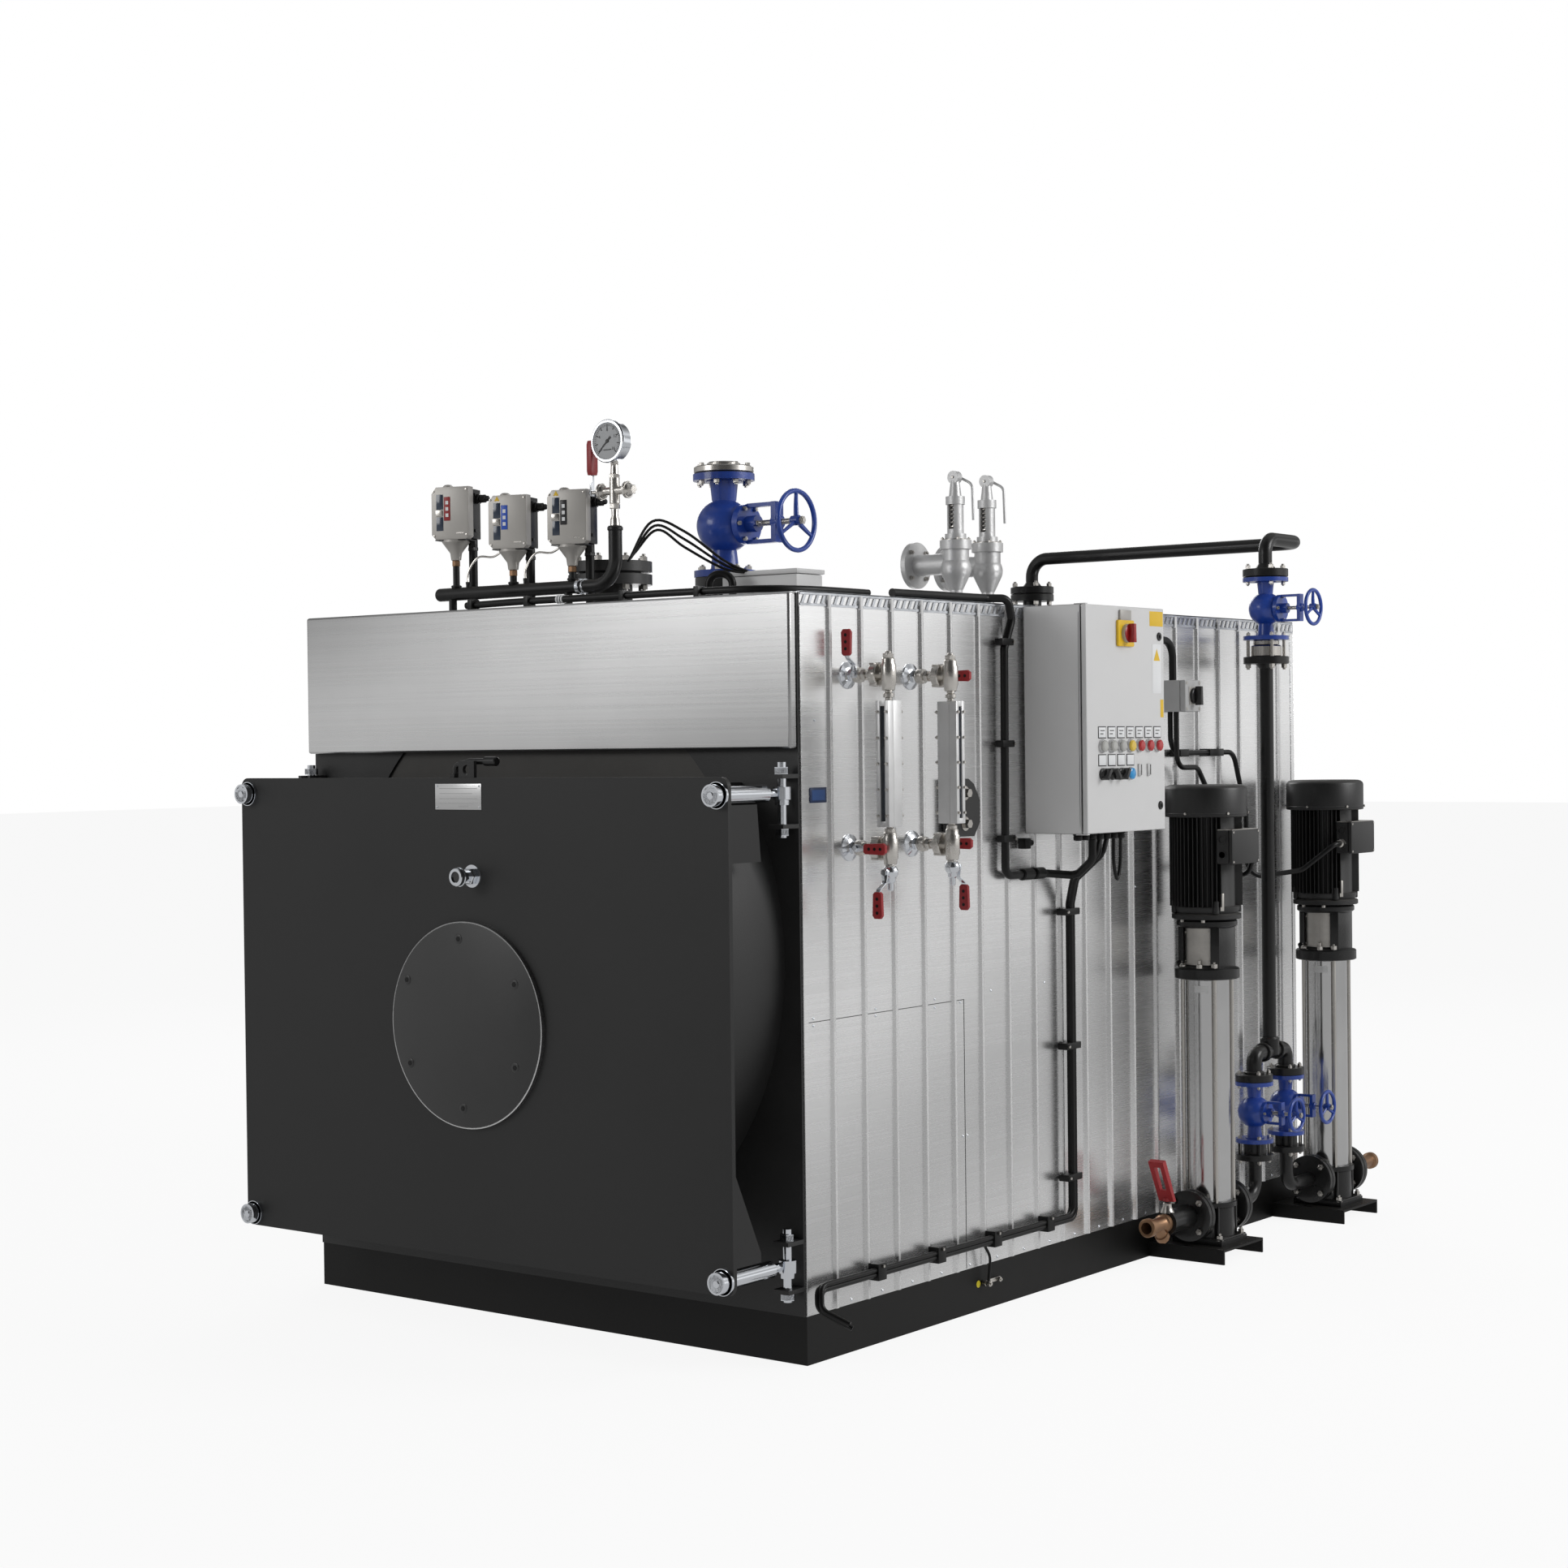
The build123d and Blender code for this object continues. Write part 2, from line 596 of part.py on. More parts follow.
# Safety valves with side outlets and lift levers
safety_low = casing_height + 25
safety_outlet_z = casing_height + 240
safety_body_z = casing_height + 220
spring_low = casing_height + 345
cap_z = casing_height + 562
with BuildPart() as safety_valves:
    for number in range(2):
        y = back(safety_back + number * safety_pitch)
        bar(0, y, casing_height, "z", 30, 24)
        bar(0, y, safety_low, "z", 18, 58)
        bar(0, y, safety_low + 18, "z", 120, 24)
        taper(0, y, safety_body_z - 80, "z", 50, 26, 50)
        with Locations((0, y, safety_body_z)):
            Sphere(58)
        bar(0, y, safety_body_z, "z", 90, 50)
        bar(0, y, safety_body_z + 72, "z", 34, 60)
        bar(0, y, safety_body_z + 106, "z", 24, 40)
        bar(0, y, spring_low, "z", 130, 31)
        block(-12, 12, y - 40, y + 40, spring_low + 23, spring_low + 115, mode=Mode.SUBTRACT)
        bar(0, y, spring_low + 5, "z", 120, 13)
        bar(0, y, spring_low + 115, "z", 30, 36)
        taper(0, y, spring_low + 145, "z", 60, 24, 17)
        bar(0, y - 16, cap_z, "y", 29, 24)
        bar(0, y + 13, cap_z, "y", 17, 7)
        bar(-175, y, safety_outlet_z, "x", 150, 40)
        bar(-193, y, safety_outlet_z, "x", 20, 88)
        bar(-193, y, safety_outlet_z, "x", 170, 30, mode=Mode.SUBTRACT)
safety_valves.part.label = "safety_valves"


def safety_lever(number):
    """Lift lever beside the cap of a safety valve."""
    y = back(safety_back + number * safety_pitch) + 18
    with BuildPart() as handle:
        bar(0, y, cap_z, "y", 8, 15)
        add(pipe([(10, y + 4, cap_z), (62, y + 4, cap_z - 27), (66, y + 4, cap_z - 162)], 5, 30))
        bar(0, y - 2, cap_z, "y", 14, 7 + running_gap, mode=Mode.SUBTRACT)
    return handle.part


with BuildPart() as safety_lever_front:
    add(safety_lever(0))
safety_lever_front.part.label = "safety_lever_front"

with BuildPart() as safety_lever_rear:
    add(safety_lever(1))
safety_lever_rear.part.label = "safety_lever_rear"

# Feed water line: roof flange pair, long run and drop to the feed valve
feed_top = casing_height + feed_rise
feed_low = feed_top - feed_length
feed_flange_z = casing_height + 116
with BuildPart() as feed_pipe:
    bar(0, back(feed_back), casing_height, "z", 120, 36)
    bar(0, back(feed_back), feed_flange_z, "z", 26, 84)
    bar(0, back(feed_back), feed_flange_z + 26, "z", 3, 60)
    bar(0, back(feed_back), feed_flange_z + 29, "z", 28, 84)
    add(pipe([(0, back(feed_back), feed_flange_z + 44), (0, back(feed_back), feed_run_z),
              (pump_x, back(feed_back), feed_run_z),
              (pump_x, back(pump_middle), feed_run_z), (pump_x, back(pump_middle), feed_top + 3)],
             riser_radius, 90))
    bar(pump_x, back(pump_middle), feed_top + 3, "z", 28, 80)
    bar(pump_x, back(pump_middle), feed_top, "z", 3, 50)
feed_pipe.part.label = "feed_pipe"

feed_bonnet = pump_x + 140
feed_z = (feed_low + feed_top) / 2
with BuildPart() as feed_handwheel:
    add(valve_wheel(pump_x, back(pump_middle), feed_z, feed_bonnet, feed_bonnet + 45, 60, 6, 11, 7))
feed_handwheel.part.label = "feed_handwheel"

# Riser with check valve above, tee and elbows below
pump_valve_low = 345
pump_valve_top = 560
tee_z = 655
check_length = 85
check_low = feed_low - check_length
with BuildPart() as riser:
    bar(pump_x, back(pump_middle), check_low + 61, "z", check_length - 61, 46)
    bar(pump_x, back(pump_middle), check_low + 26, "z", 40, 52)
    bar(pump_x, back(pump_middle), check_low, "z", 26, 80)
    ring_of_bars(pump_x, back(pump_middle), check_low, "z", check_length, 66, 4, 7)
    bar(pump_x, back(pump_middle), tee_z, "z", check_low + 6 - tee_z, riser_radius)
    bar(pump_x, back(pump_middle), tee_z, "z", 48, 34)
    add(pipe([(pump_x, back(pump_middle - pump_valve_offset), pump_valve_top + 24),
              (pump_x, back(pump_middle - pump_valve_offset), tee_z),
              (pump_x, back(pump_middle + pump_valve_offset), tee_z),
              (pump_x, back(pump_middle + pump_valve_offset), pump_valve_top + 24)], riser_radius + 3, 68))
    for side in (-1, 1):
        bar(pump_x, back(pump_middle + side * pump_valve_offset), pump_valve_top, "z", 26, 66)
riser.part.label = "riser"

pump_bonnet = pump_x + 112


def pump_valve(side):
    """Stop valve over one pump."""
    y = back(pump_middle + side * pump_valve_offset)
    return valve_body(pump_x, y, pump_valve_low, pump_valve_top, 66, 27, pump_bonnet, 13, 7, 40)


def pump_wheel(side):
    """Handwheel of one pump's stop valve."""
    y = back(pump_middle + side * pump_valve_offset)
    z = (pump_valve_low + pump_valve_top) / 2
    return valve_wheel(pump_x, y, z, pump_bonnet, pump_bonnet + 52, 55, 6, 11, 7)


# Blue globe valves: steam, feed water and one over each pump
with BuildPart() as stop_valves:
    add(valve_body(0, back(steam_back), steam_low, steam_top, 103, 48, steam_bonnet, 22, 10, 67))
    add(valve_body(pump_x, back(pump_middle), feed_low, feed_top, 80, 30, feed_bonnet, 14, 7, 48))
    add(pump_valve(-1))
    add(pump_valve(1))
stop_valves.part.label = "stop_valves"

with BuildPart() as front_pump_handwheel:
    add(pump_wheel(-1))
front_pump_handwheel.part.label = "front_pump_handwheel"

with BuildPart() as rear_pump_handwheel:
    add(pump_wheel(1))
rear_pump_handwheel.part.label = "rear_pump_handwheel"

# Cast pump bases with ports fore and aft, and the discharge elbows
port_z = 155
port_length = 135
front_suction_reach = 170
rear_suction_reach = 110
suction_lever_back = pump_front_back - port_length - 155
stem_low = 66
pump_sides = ((-1, pump_front_back, front_suction_reach), (1, pump_rear_back, rear_suction_reach))
with BuildPart() as pump_bases:
    for middle in (pump_front_back, pump_rear_back):
        y = back(middle)
        block(pump_x - 95, pump_x + 95, y - 90, y + 90, frame_height, frame_height + 18)
        bar(pump_x, y, frame_height + 10, "z", 130, 86)
        bar(pump_x, y, 178, "z", 12, 94)
        bar(pump_x, y - port_length, port_z, "y", 2 * port_length, 34)
        for side in (-1, 1):
            bar(pump_x, y + side * (port_length - 10) - 10, port_z, "y", 20, 64)
    for side, middle, suction_reach in pump_sides:
        start = middle - side * port_length
        valve = pump_middle + side * pump_valve_offset
        bar(pump_x, back(min(start, start - side * 20)), port_z, "y", 20, 64)
        add(pipe([(pump_x, back(start), port_z), (pump_x, back(valve), port_z), (pump_x, back(valve), 290)],
                 riser_radius, 60))
        bar(pump_x, back(valve), 284, "z", 20, 66)
        bar(pump_x, back(valve), 300, "z", pump_valve_low - 300, 40)
        ring_of_bars(pump_x, back(valve), 290, "z", pump_valve_low - 290, 54, 4, 6)
        flange = middle + side * port_length
        end = flange + side * suction_reach
        bar(pump_x, back(min(flange, flange + side * 20)), port_z, "y", 20, 64)
        bar(pump_x, back(min(flange, end)), port_z, "y", suction_reach, 36)
    bar(pump_x, back(suction_lever_back), port_z, "z", stem_low, 13)
    bar(pump_x, back(suction_lever_back), port_z + stem_low, "z", 20, 7)
pump_bases.part.label = "pump_bases"

# Stainless sleeves with staybolts
head_low = 955
with BuildPart() as pump_sleeves:
    for middle in (pump_front_back, pump_rear_back):
        bar(pump_x, back(middle), 190, "z", head_low - 190, 76)
        ring_of_bars(pump_x, back(middle), 190, "z", head_low - 190, 86, 4, 7)
pump_sleeves.part.label = "pump_sleeves"

# Pump heads with lantern and open window
head_top = 1148
with BuildPart() as pump_heads:
    for middle in (pump_front_back, pump_rear_back):
        y = back(middle)
        bar(pump_x, y, head_low, "z", 36, 110)
        bar(pump_x, y, head_low + 36, "z", 40, 72)
        bar(pump_x, y, head_top - 14, "z", 22, 104)
        for sx in (-1, 1):
            for sy in (-1, 1):
                block(pump_x + sx * 64 - 14, pump_x + sx * 64 + 14, y + sy * 56 - 12, y + sy * 56 + 12,
                      head_low + 30, head_top)
        bar(pump_x, y, head_low + 76, "z", head_top - 14 - head_low - 76, 40)
        for side in (-1, 1):
            plate = y + side * 71
            block(pump_x - 50, pump_x + 50, plate - 1, plate + 1, head_low + 36, head_top - 14)
pump_heads.part.label = "pump_heads"

# Motors with cooling fins, fan cover and terminal box
motor_low = head_top + 8
motor_top = 1613
fan_low = 1508
terminal_reach = 153
terminal_half = 98
terminal_low = 1343
terminal_top = 1465
with BuildPart() as pump_motors:
    for middle in (pump_front_back, pump_rear_back):
        y = back(middle)
        bar(pump_x, y, motor_low, "z", 18, 118)
        bar(pump_x, y, motor_low + 18, "z", fan_low - motor_low - 18, 112)
        with Locations((pump_x, y, motor_low + 34)):
            with PolarLocations(111, 36):
                Box(28, 3, fan_low - motor_low - 34, align=(Align.CENTER, Align.CENTER, Align.MIN))
        bar(pump_x, y, fan_low, "z", motor_top - fan_low - 12, 140)
        taper(pump_x, y, motor_top - 12, "z", 12, 140, 128)
        block(pump_x + 83, pump_x + terminal_reach, y - terminal_half, y + terminal_half, terminal_low,
              terminal_top)
pump_motors.part.label = "pump_motors"

# Brass strainers on the suction ends and the lever of the front suction valve
with BuildPart() as strainers:
    for side, middle, suction_reach in pump_sides:
        start = middle + side * (port_length + suction_reach)
        end = start + side * 125
        bar(pump_x, back(min(start, end)), port_z, "y", 125, 23)
        for low in (start, end - side * 24):
            bar(pump_x, back(min(low, low + side * 24)), port_z, "y", 24, 31)
        leg = start + side * 40
        with Locations(Location((pump_x, back(leg), port_z), (-side * 135, 0, 0))):
            Cylinder(19, 78, align=on_end)
        bar(pump_x, back(min(start, end)), port_z, "y", 125, 17, mode=Mode.SUBTRACT)
strainers.part.label = "strainers"

with BuildPart() as suction_lever:
    y = back(suction_lever_back)
    low = port_z + stem_low + 5
    bar(pump_x, y, low, "z", 12, 15)
    add(plate_yz([(y - 6, low), (y + 10, low), (y - 58, low + 146), (y - 78, low + 140)], pump_x - 28, 56))
    add(plate_yz([(y - 27, low + 40), (y + 3, low + 40), (y - 42, low + 128), (y - 80, low + 118)],
                 pump_x - 12, 24),
        mode=Mode.SUBTRACT)
    bar(pump_x, y, low - 20, "z", 20, 30, mode=Mode.SUBTRACT)
    bar(pump_x, y, low, "z", 24, 7 + running_gap, mode=Mode.SUBTRACT)
suction_lever.part.label = "suction_lever"


# Level gauges: rosettes and cocks on the wall, columns in front
gauge_list = ((gauge_one_back, -1), (gauge_two_back, 1))
cock_x = half_width + 45
stem_offset = 26
with BuildPart() as gauge_fittings:
    for depth, way in gauge_list:
        y = back(depth)
        for level in (gauge_top_z, gauge_low_z):
            bar(half_width, y, level, "x", 12, 39)
            bar(half_width, y, level, "x", gauge_column_x - half_width, 12)
            with Locations((cock_x, y, level)):
                Sphere(22)
            bar(cock_x, min(y, y + way * (stem_offset + 10)), level, "y", stem_offset + 10, 6)
            bar(cock_x, min(y, y + way * stem_offset), level, "y", stem_offset, 11)
            hex_bar(gauge_column_x - 46, y, level, "x", 22, 30)
            bar(gauge_column_x, y, level - 46, "z", 92, 20)
        bar(gauge_column_x, y, gauge_top_z - 76, "z", 32, 10)
        bar(gauge_column_x, y, gauge_low_z + 44, "z", 18, 10)
        bar(gauge_column_x, y, gauge_low_z - 122, "z", 80, 10)
        with Locations((gauge_column_x, y, gauge_low_z - 68)):
            Sphere(23)
        bar(gauge_column_x, min(y, y + way * (stem_offset + 10)), gauge_low_z - 68, "y", stem_offset + 10, 6)
        bar(gauge_column_x, min(y, y + way * stem_offset), gauge_low_z - 68, "y", stem_offset, 11)
gauge_fittings.part.label = "gauge_fittings"

column_low = gauge_low_z + 62
column_top = gauge_top_z - 76
with BuildPart() as gauge_columns:
    for depth, way in gauge_list:
        y = back(depth)
        if way < 0:
            block(gauge_column_x - 22, gauge_column_x + 22, y - 34, y + 34, column_low, column_top)
            block(gauge_column_x - 7, gauge_column_x + 7, y - 34, y - 22, column_low + 16, column_top - 16,
                  mode=Mode.SUBTRACT)
        else:
            block(gauge_column_x - 34, gauge_column_x + 34, y - 22, y + 22, column_low, column_top)
            block(gauge_column_x + 22, gauge_column_x + 34, y - 7, y + 7, column_low + 16, column_top - 16,
                  mode=Mode.SUBTRACT)
gauge_columns.part.label = "gauge_columns"

with BuildPart() as gauge_glasses:
    for depth, way in gauge_list:
        y = back(depth)
        if way < 0:
            block(gauge_column_x - 7, gauge_column_x + 7, y - 30, y - 22, column_low + 16, column_top - 16)
        else:
            block(gauge_column_x + 22, gauge_column_x + 30, y - 7, y + 7, column_low + 16, column_top - 16)
gauge_glasses.part.label = "gauge_glasses"


def cock_lever(x, depth, z, way, points):
    """Lever of one gauge cock, pointing up, down or out."""
    y = back(depth) + way * stem_offset
    return lever(x, y, z, (0, way, 0), 132, 34, points)


with BuildPart() as gauge_one_top_lever:
    add(cock_lever(cock_x, gauge_one_back, gauge_top_z, -1, (0, 0, 1)))
gauge_one_top_lever.part.label = "gauge_one_top_lever"

with BuildPart() as gauge_one_low_lever:
    add(cock_lever(cock_x, gauge_one_back, gauge_low_z, -1, (1, 0, 0)))
gauge_one_low_lever.part.label = "gauge_one_low_lever"

with BuildPart() as gauge_one_drain_lever:
    add(cock_lever(gauge_column_x, gauge_one_back, gauge_low_z - 68, -1, (0, 0, -1)))
gauge_one_drain_lever.part.label = "gauge_one_drain_lever"

with BuildPart() as gauge_two_top_lever:
    add(cock_lever(cock_x, gauge_two_back, gauge_top_z, 1, (1, 0, 0)))
gauge_two_top_lever.part.label = "gauge_two_top_lever"

with BuildPart() as gauge_two_low_lever:
    add(cock_lever(cock_x, gauge_two_back, gauge_low_z, 1, (1, 0, 0)))
gauge_two_low_lever.part.label = "gauge_two_low_lever"

with BuildPart() as gauge_two_drain_lever:
    add(cock_lever(gauge_column_x, gauge_two_back, gauge_low_z - 68, 1, (0, 0, -1)))
gauge_two_drain_lever.part.label = "gauge_two_drain_lever"

# Bolted inspection cover on the side
cover_z = gauge_low_z + 102
with BuildPart() as side_cover:
    add(plate_yz([(back(700), cover_z - 88), (back(700), cover_z + 88), (back(820), cover_z + 88),
                  (back(850), cover_z + 72),
                  (back(882), cover_z + 22), (back(882), cover_z - 48), (back(850), cover_z - 90)], crest_x,
                 14))
side_cover.part.label = "side_cover"

# Control cabinet and its hinged door
cabinet_out = half_width + cabinet_depth
cabinet_end = cabinet_back + cabinet_width
cabinet_rim = cabinet_out - cabinet_door - cabinet_gap
cabinet_hinge_x = cabinet_out - hinge_inset
cabinet_hinge_y = back(cabinet_back) + hinge_inset
hinge_pin_radius = 4
gland_x = cabinet_rim - 36
gland_first = cabinet_back + 37
gland_pitch = 44
gland_height = 22
with BuildPart() as cabinet:
    block(crest_x, cabinet_rim, back(cabinet_back), back(cabinet_end), cabinet_low, cabinet_top)
    block(crest_x + 3, cabinet_rim, back(cabinet_back + 3), back(cabinet_end - 3), cabinet_low + 3,
          cabinet_top - 3,
          mode=Mode.SUBTRACT)
    block(crest_x + 3, crest_x + 12, back(cabinet_back + 30), back(cabinet_end - 30), cabinet_low + 30,
          cabinet_top - 30)
    for gland in range(7):
        bar(gland_x, back(gland_first + gland * gland_pitch), cabinet_low - gland_height, "z", gland_height,
            14)
    for low, pin_low in ((cabinet_top, cabinet_top - 12),
                         (cabinet_low - cabinet_ear, cabinet_low - cabinet_ear)):
        block(cabinet_rim - 20, cabinet_hinge_x + 7, cabinet_hinge_y - 7, cabinet_hinge_y + 7, low,
              low + cabinet_ear)
        bar(cabinet_hinge_x, cabinet_hinge_y, pin_low, "z", 12 + cabinet_ear, hinge_pin_radius)
cabinet.part.label = "cabinet"

with BuildPart() as cabinet_front:
    low = cabinet_low + 1
    top = cabinet_top - 1
    block(cabinet_out - cabinet_door, cabinet_out, back(cabinet_back), back(cabinet_end), low, top)
    block(cabinet_out - cabinet_door, cabinet_out - 2, back(cabinet_back + 2), back(cabinet_end - 2),
          low + 2, top - 2,
          mode=Mode.SUBTRACT)
    for corner in (low, top - 18):
        block(cabinet_out - cabinet_door, cabinet_out, back(cabinet_back), back(cabinet_back + 18), corner,
              corner + 18)
        bar(cabinet_hinge_x, cabinet_hinge_y, corner, "z", 18, hinge_pin_radius + running_gap,
            mode=Mode.SUBTRACT)
cabinet_front.part.label = "cabinet_front"

# Main switch: yellow plate on the door, red knob on its shaft
switch_back = cabinet_back + 235
switch_z = cabinet_top - 87
lamp_z = cabinet_top - 443
button_z = cabinet_top - 528
with BuildPart() as main_switch:
    block(cabinet_out, cabinet_out + 8, back(switch_back - 50), back(switch_back + 50), switch_z - 42,
          switch_z + 42)
    bar(cabinet_out + 8, back(switch_back), switch_z, "x", 22, 6)
main_switch.part.label = "main_switch"

with BuildPart() as main_switch_knob:
    bar(cabinet_out + 10, back(switch_back), switch_z, "x", 12, 26)
    block(cabinet_out + 20, cabinet_out + 42, back(switch_back) - 9, back(switch_back) + 9, switch_z - 30,
          switch_z + 30)
    bar(cabinet_out + 10, back(switch_back), switch_z, "x", 21, 6 + running_gap, mode=Mode.SUBTRACT)
main_switch_knob.part.label = "main_switch_knob"

# Lamps and push buttons in two rows
lamp_pitch = 58
with BuildPart() as cabinet_lamps:
    for number in range(7):
        y = back(cabinet_back + 92 + number * lamp_pitch)
        bar(cabinet_out, y, lamp_z, "x", 14, 14)
    for number in range(6):
        y = back(cabinet_back + 92 + number * lamp_pitch)
        bar(cabinet_out, y, button_z, "x", 12 if number < 4 else 6, 13)
cabinet_lamps.part.label = "cabinet_lamps"

# Grey boxes: isolator on the side and a flat junction box on the roof
isolator_back = pump_front_back - 14
isolator_half = 54
with BuildPart() as terminal_boxes:
    block(411, 700, back(390), back(520), casing_height, casing_height + 92)
    block(405, 706, back(384), back(526), casing_height + 92, casing_height + 100)
    block(crest_x, half_width + 120, back(isolator_back - isolator_half), back(isolator_back + isolator_half),
          isolator_z - isolator_half, isolator_z + isolator_half)
    bar(half_width + 120, back(isolator_back), isolator_z, "x", 24, 6)
terminal_boxes.part.label = "terminal_boxes"

with BuildPart() as isolator_knob:
    bar(half_width + 122, back(isolator_back), isolator_z, "x", 12, 30)
    block(half_width + 132, half_width + 156, back(isolator_back) - 9, back(isolator_back) + 9,
          isolator_z - 32, isolator_z + 32)
    bar(half_width + 122, back(isolator_back), isolator_z, "x", 23, 6 + running_gap, mode=Mode.SUBTRACT)
isolator_knob.part.label = "isolator_knob"

# Perforated cable tray along the top edge
with BuildPart() as cable_tray:
    block(half_width, half_width + 3, back(4), back(casing_length - 4), casing_height - 38, casing_height)
    block(half_width - 60, half_width + 3, back(4), back(casing_length - 4), casing_height, casing_height + 3)
cable_tray.part.label = "cable_tray"

# Conduits: one from the roof to the cabinet, a bundle down to the front, and the motor supply
conduit_radius = 13
bundle_radius = 17
supply_radius = 9
conduit_x = crest_x + conduit_radius + 2
bundle_x = crest_x + bundle_radius + 2
supply_x = half_width + 41
branch_x = supply_x + 24
terminal_x = pump_x + 118
roof_run_x = half_width - 16
roof_run_z = casing_height + cladding + conduit_radius
low_run_z = 222
bundle_back = cabinet_back + 234
drop_back = cabinet_back - 139
supply_back = isolator_back - 20
branch_back = pump_front_back + 182
gland_low = cabinet_low - gland_height
isolator_low = isolator_z - isolator_half


def clamp(depth, before, after, reach, z, half):
    """Clamp block over the rib nearest to a conduit and out to its far side."""
    rib = rib_first + round((depth - rib_first) / rib_pitch) * rib_pitch
    block(crest_x, reach, back(min(depth, rib) - before), back(max(depth, rib) + after), z - half, z + half)


with BuildPart() as conduits:
    add(pipe([(roof_run_x, back(480), roof_run_z), (roof_run_x, back(drop_back - 39), roof_run_z + 2),
              (conduit_x + 4, back(drop_back + 24), roof_run_z + 2),
              (conduit_x + 4, back(drop_back + 42), casing_height - 50),
              (conduit_x, back(drop_back + 4), casing_height - 140),
              (conduit_x, back(drop_back - 2), cabinet_low - 127),
              (conduit_x, back(cabinet_back + 92), cabinet_low - 130),
              (half_width + 96, back(cabinet_back + 167), cabinet_low - 139),
              (gland_x, back(gland_first + 2 * gland_pitch), gland_low - 63),
              (gland_x, back(gland_first + 2 * gland_pitch), gland_low)], conduit_radius, 30))
    add(pipe([(gland_x, back(gland_first + 3 * gland_pitch), gland_low),
              (gland_x, back(gland_first + 3 * gland_pitch), gland_low - 48),
              (half_width + 56, back(bundle_back - 17), gland_low - 133),
              (bundle_x, back(bundle_back), gland_low - 213),
              (bundle_x, back(bundle_back), low_run_z), (bundle_x, back(22), low_run_z),
              (bundle_x + 13, back(6), low_run_z - 57), (bundle_x + 93, back(38), low_run_z - 100)],
             bundle_radius, 32))
    add(pipe([(supply_x, back(cabinet_end), isolator_z + 192),
              (supply_x, back(isolator_back), isolator_z + 192),
              (supply_x, back(isolator_back), isolator_z + isolator_half)], conduit_radius, 60))
    add(pipe([(supply_x, back(supply_back), isolator_low), (supply_x, back(supply_back), isolator_z - 196),
              (supply_x, back(pump_middle - 35), isolator_z - 196),
              (supply_x, back(pump_middle + 55), fan_low - 8),
              (supply_x, back(pump_middle + 65), terminal_low - 78),
              (pump_x + 20, back(pump_rear_back - 230), terminal_low - 53),
              (terminal_x, back(pump_rear_back - terminal_half - 50), terminal_low + 45),
              (terminal_x, back(pump_rear_back - terminal_half), terminal_low + 45)], supply_radius, 35))
    add(pipe([(branch_x, back(supply_back), isolator_low), (branch_x, back(supply_back), isolator_z - 246),
              (branch_x, back(branch_back - 72), isolator_z - 246),
              (branch_x, back(branch_back), motor_top - 23),
              (branch_x, back(branch_back), terminal_low - 13),
              (pump_x + 60, back(branch_back), terminal_low - 53),
              (terminal_x, back(pump_front_back + terminal_half + 50), terminal_low + 45),
              (terminal_x, back(pump_front_back + terminal_half), terminal_low + 45)], supply_radius, 22))
    for drop in (119, 438, 736):
        clamp(drop_back, 54, -1, conduit_x + conduit_radius + 2, casing_height - drop, 11)
    for z in (cabinet_low - 260, cabinet_low - 696, low_run_z + 130):
        clamp(bundle_back, 35, 35, bundle_x + bundle_radius + 2, z, 11)
    for rib in (1, 3, 5, 7):
        clamp(rib_first + rib * rib_pitch + 16, 6, 22, bundle_x + bundle_radius + 2, low_run_z + 1, 27)
    clamp(supply_back + 64, 16, 6, supply_x + supply_radius + 3, isolator_z - 196, 14)
    clamp(pump_middle - 228, 2, 102, supply_x + supply_radius + 3, isolator_z - 196, 14)
    clamp(pump_middle + 62, 19, 5, branch_x, terminal_low + 27, 10)
    clamp(branch_back, 22, 5, branch_x, terminal_low + 147, 10)
conduits.part.label = "conduits"

os.makedirs("parts", exist_ok=True)
pieces = (
    plinth, side_cladding, rear_cladding, roof_cladding, flue_outlet, front_wall, front_hood,
    boiler_vessel, smokebox, hinge_pins, front_door, door_lining, door_rods, burner_plate, sight_glass,
    switch_manifold, pressure_switches, pressure_gauge, gauge_cock_lever, roof_nozzles, steam_flange,
    steam_handwheel, safety_valves, safety_lever_front, safety_lever_rear, feed_pipe, feed_handwheel,
    riser, stop_valves, front_pump_handwheel, rear_pump_handwheel, pump_bases, pump_sleeves, pump_heads,
    pump_motors, strainers, suction_lever, gauge_fittings, gauge_columns, gauge_glasses,
    gauge_one_top_lever, gauge_one_low_lever, gauge_one_drain_lever, gauge_two_top_lever,
    gauge_two_low_lever, gauge_two_drain_lever, side_cover, cabinet, cabinet_front, main_switch,
    main_switch_knob, cabinet_lamps, terminal_boxes, isolator_knob, cable_tray, conduits,
)
for piece in pieces:
    export_step(piece.part, "parts/" + piece.part.label + ".step")
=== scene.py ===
"""Packaged steam boiler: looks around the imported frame. Helpers take millimetres in the part's own frame."""
import json
from math import cos, pi, radians, sin, tan, tau

import bmesh
import bpy
from mathutils import Matrix, Vector


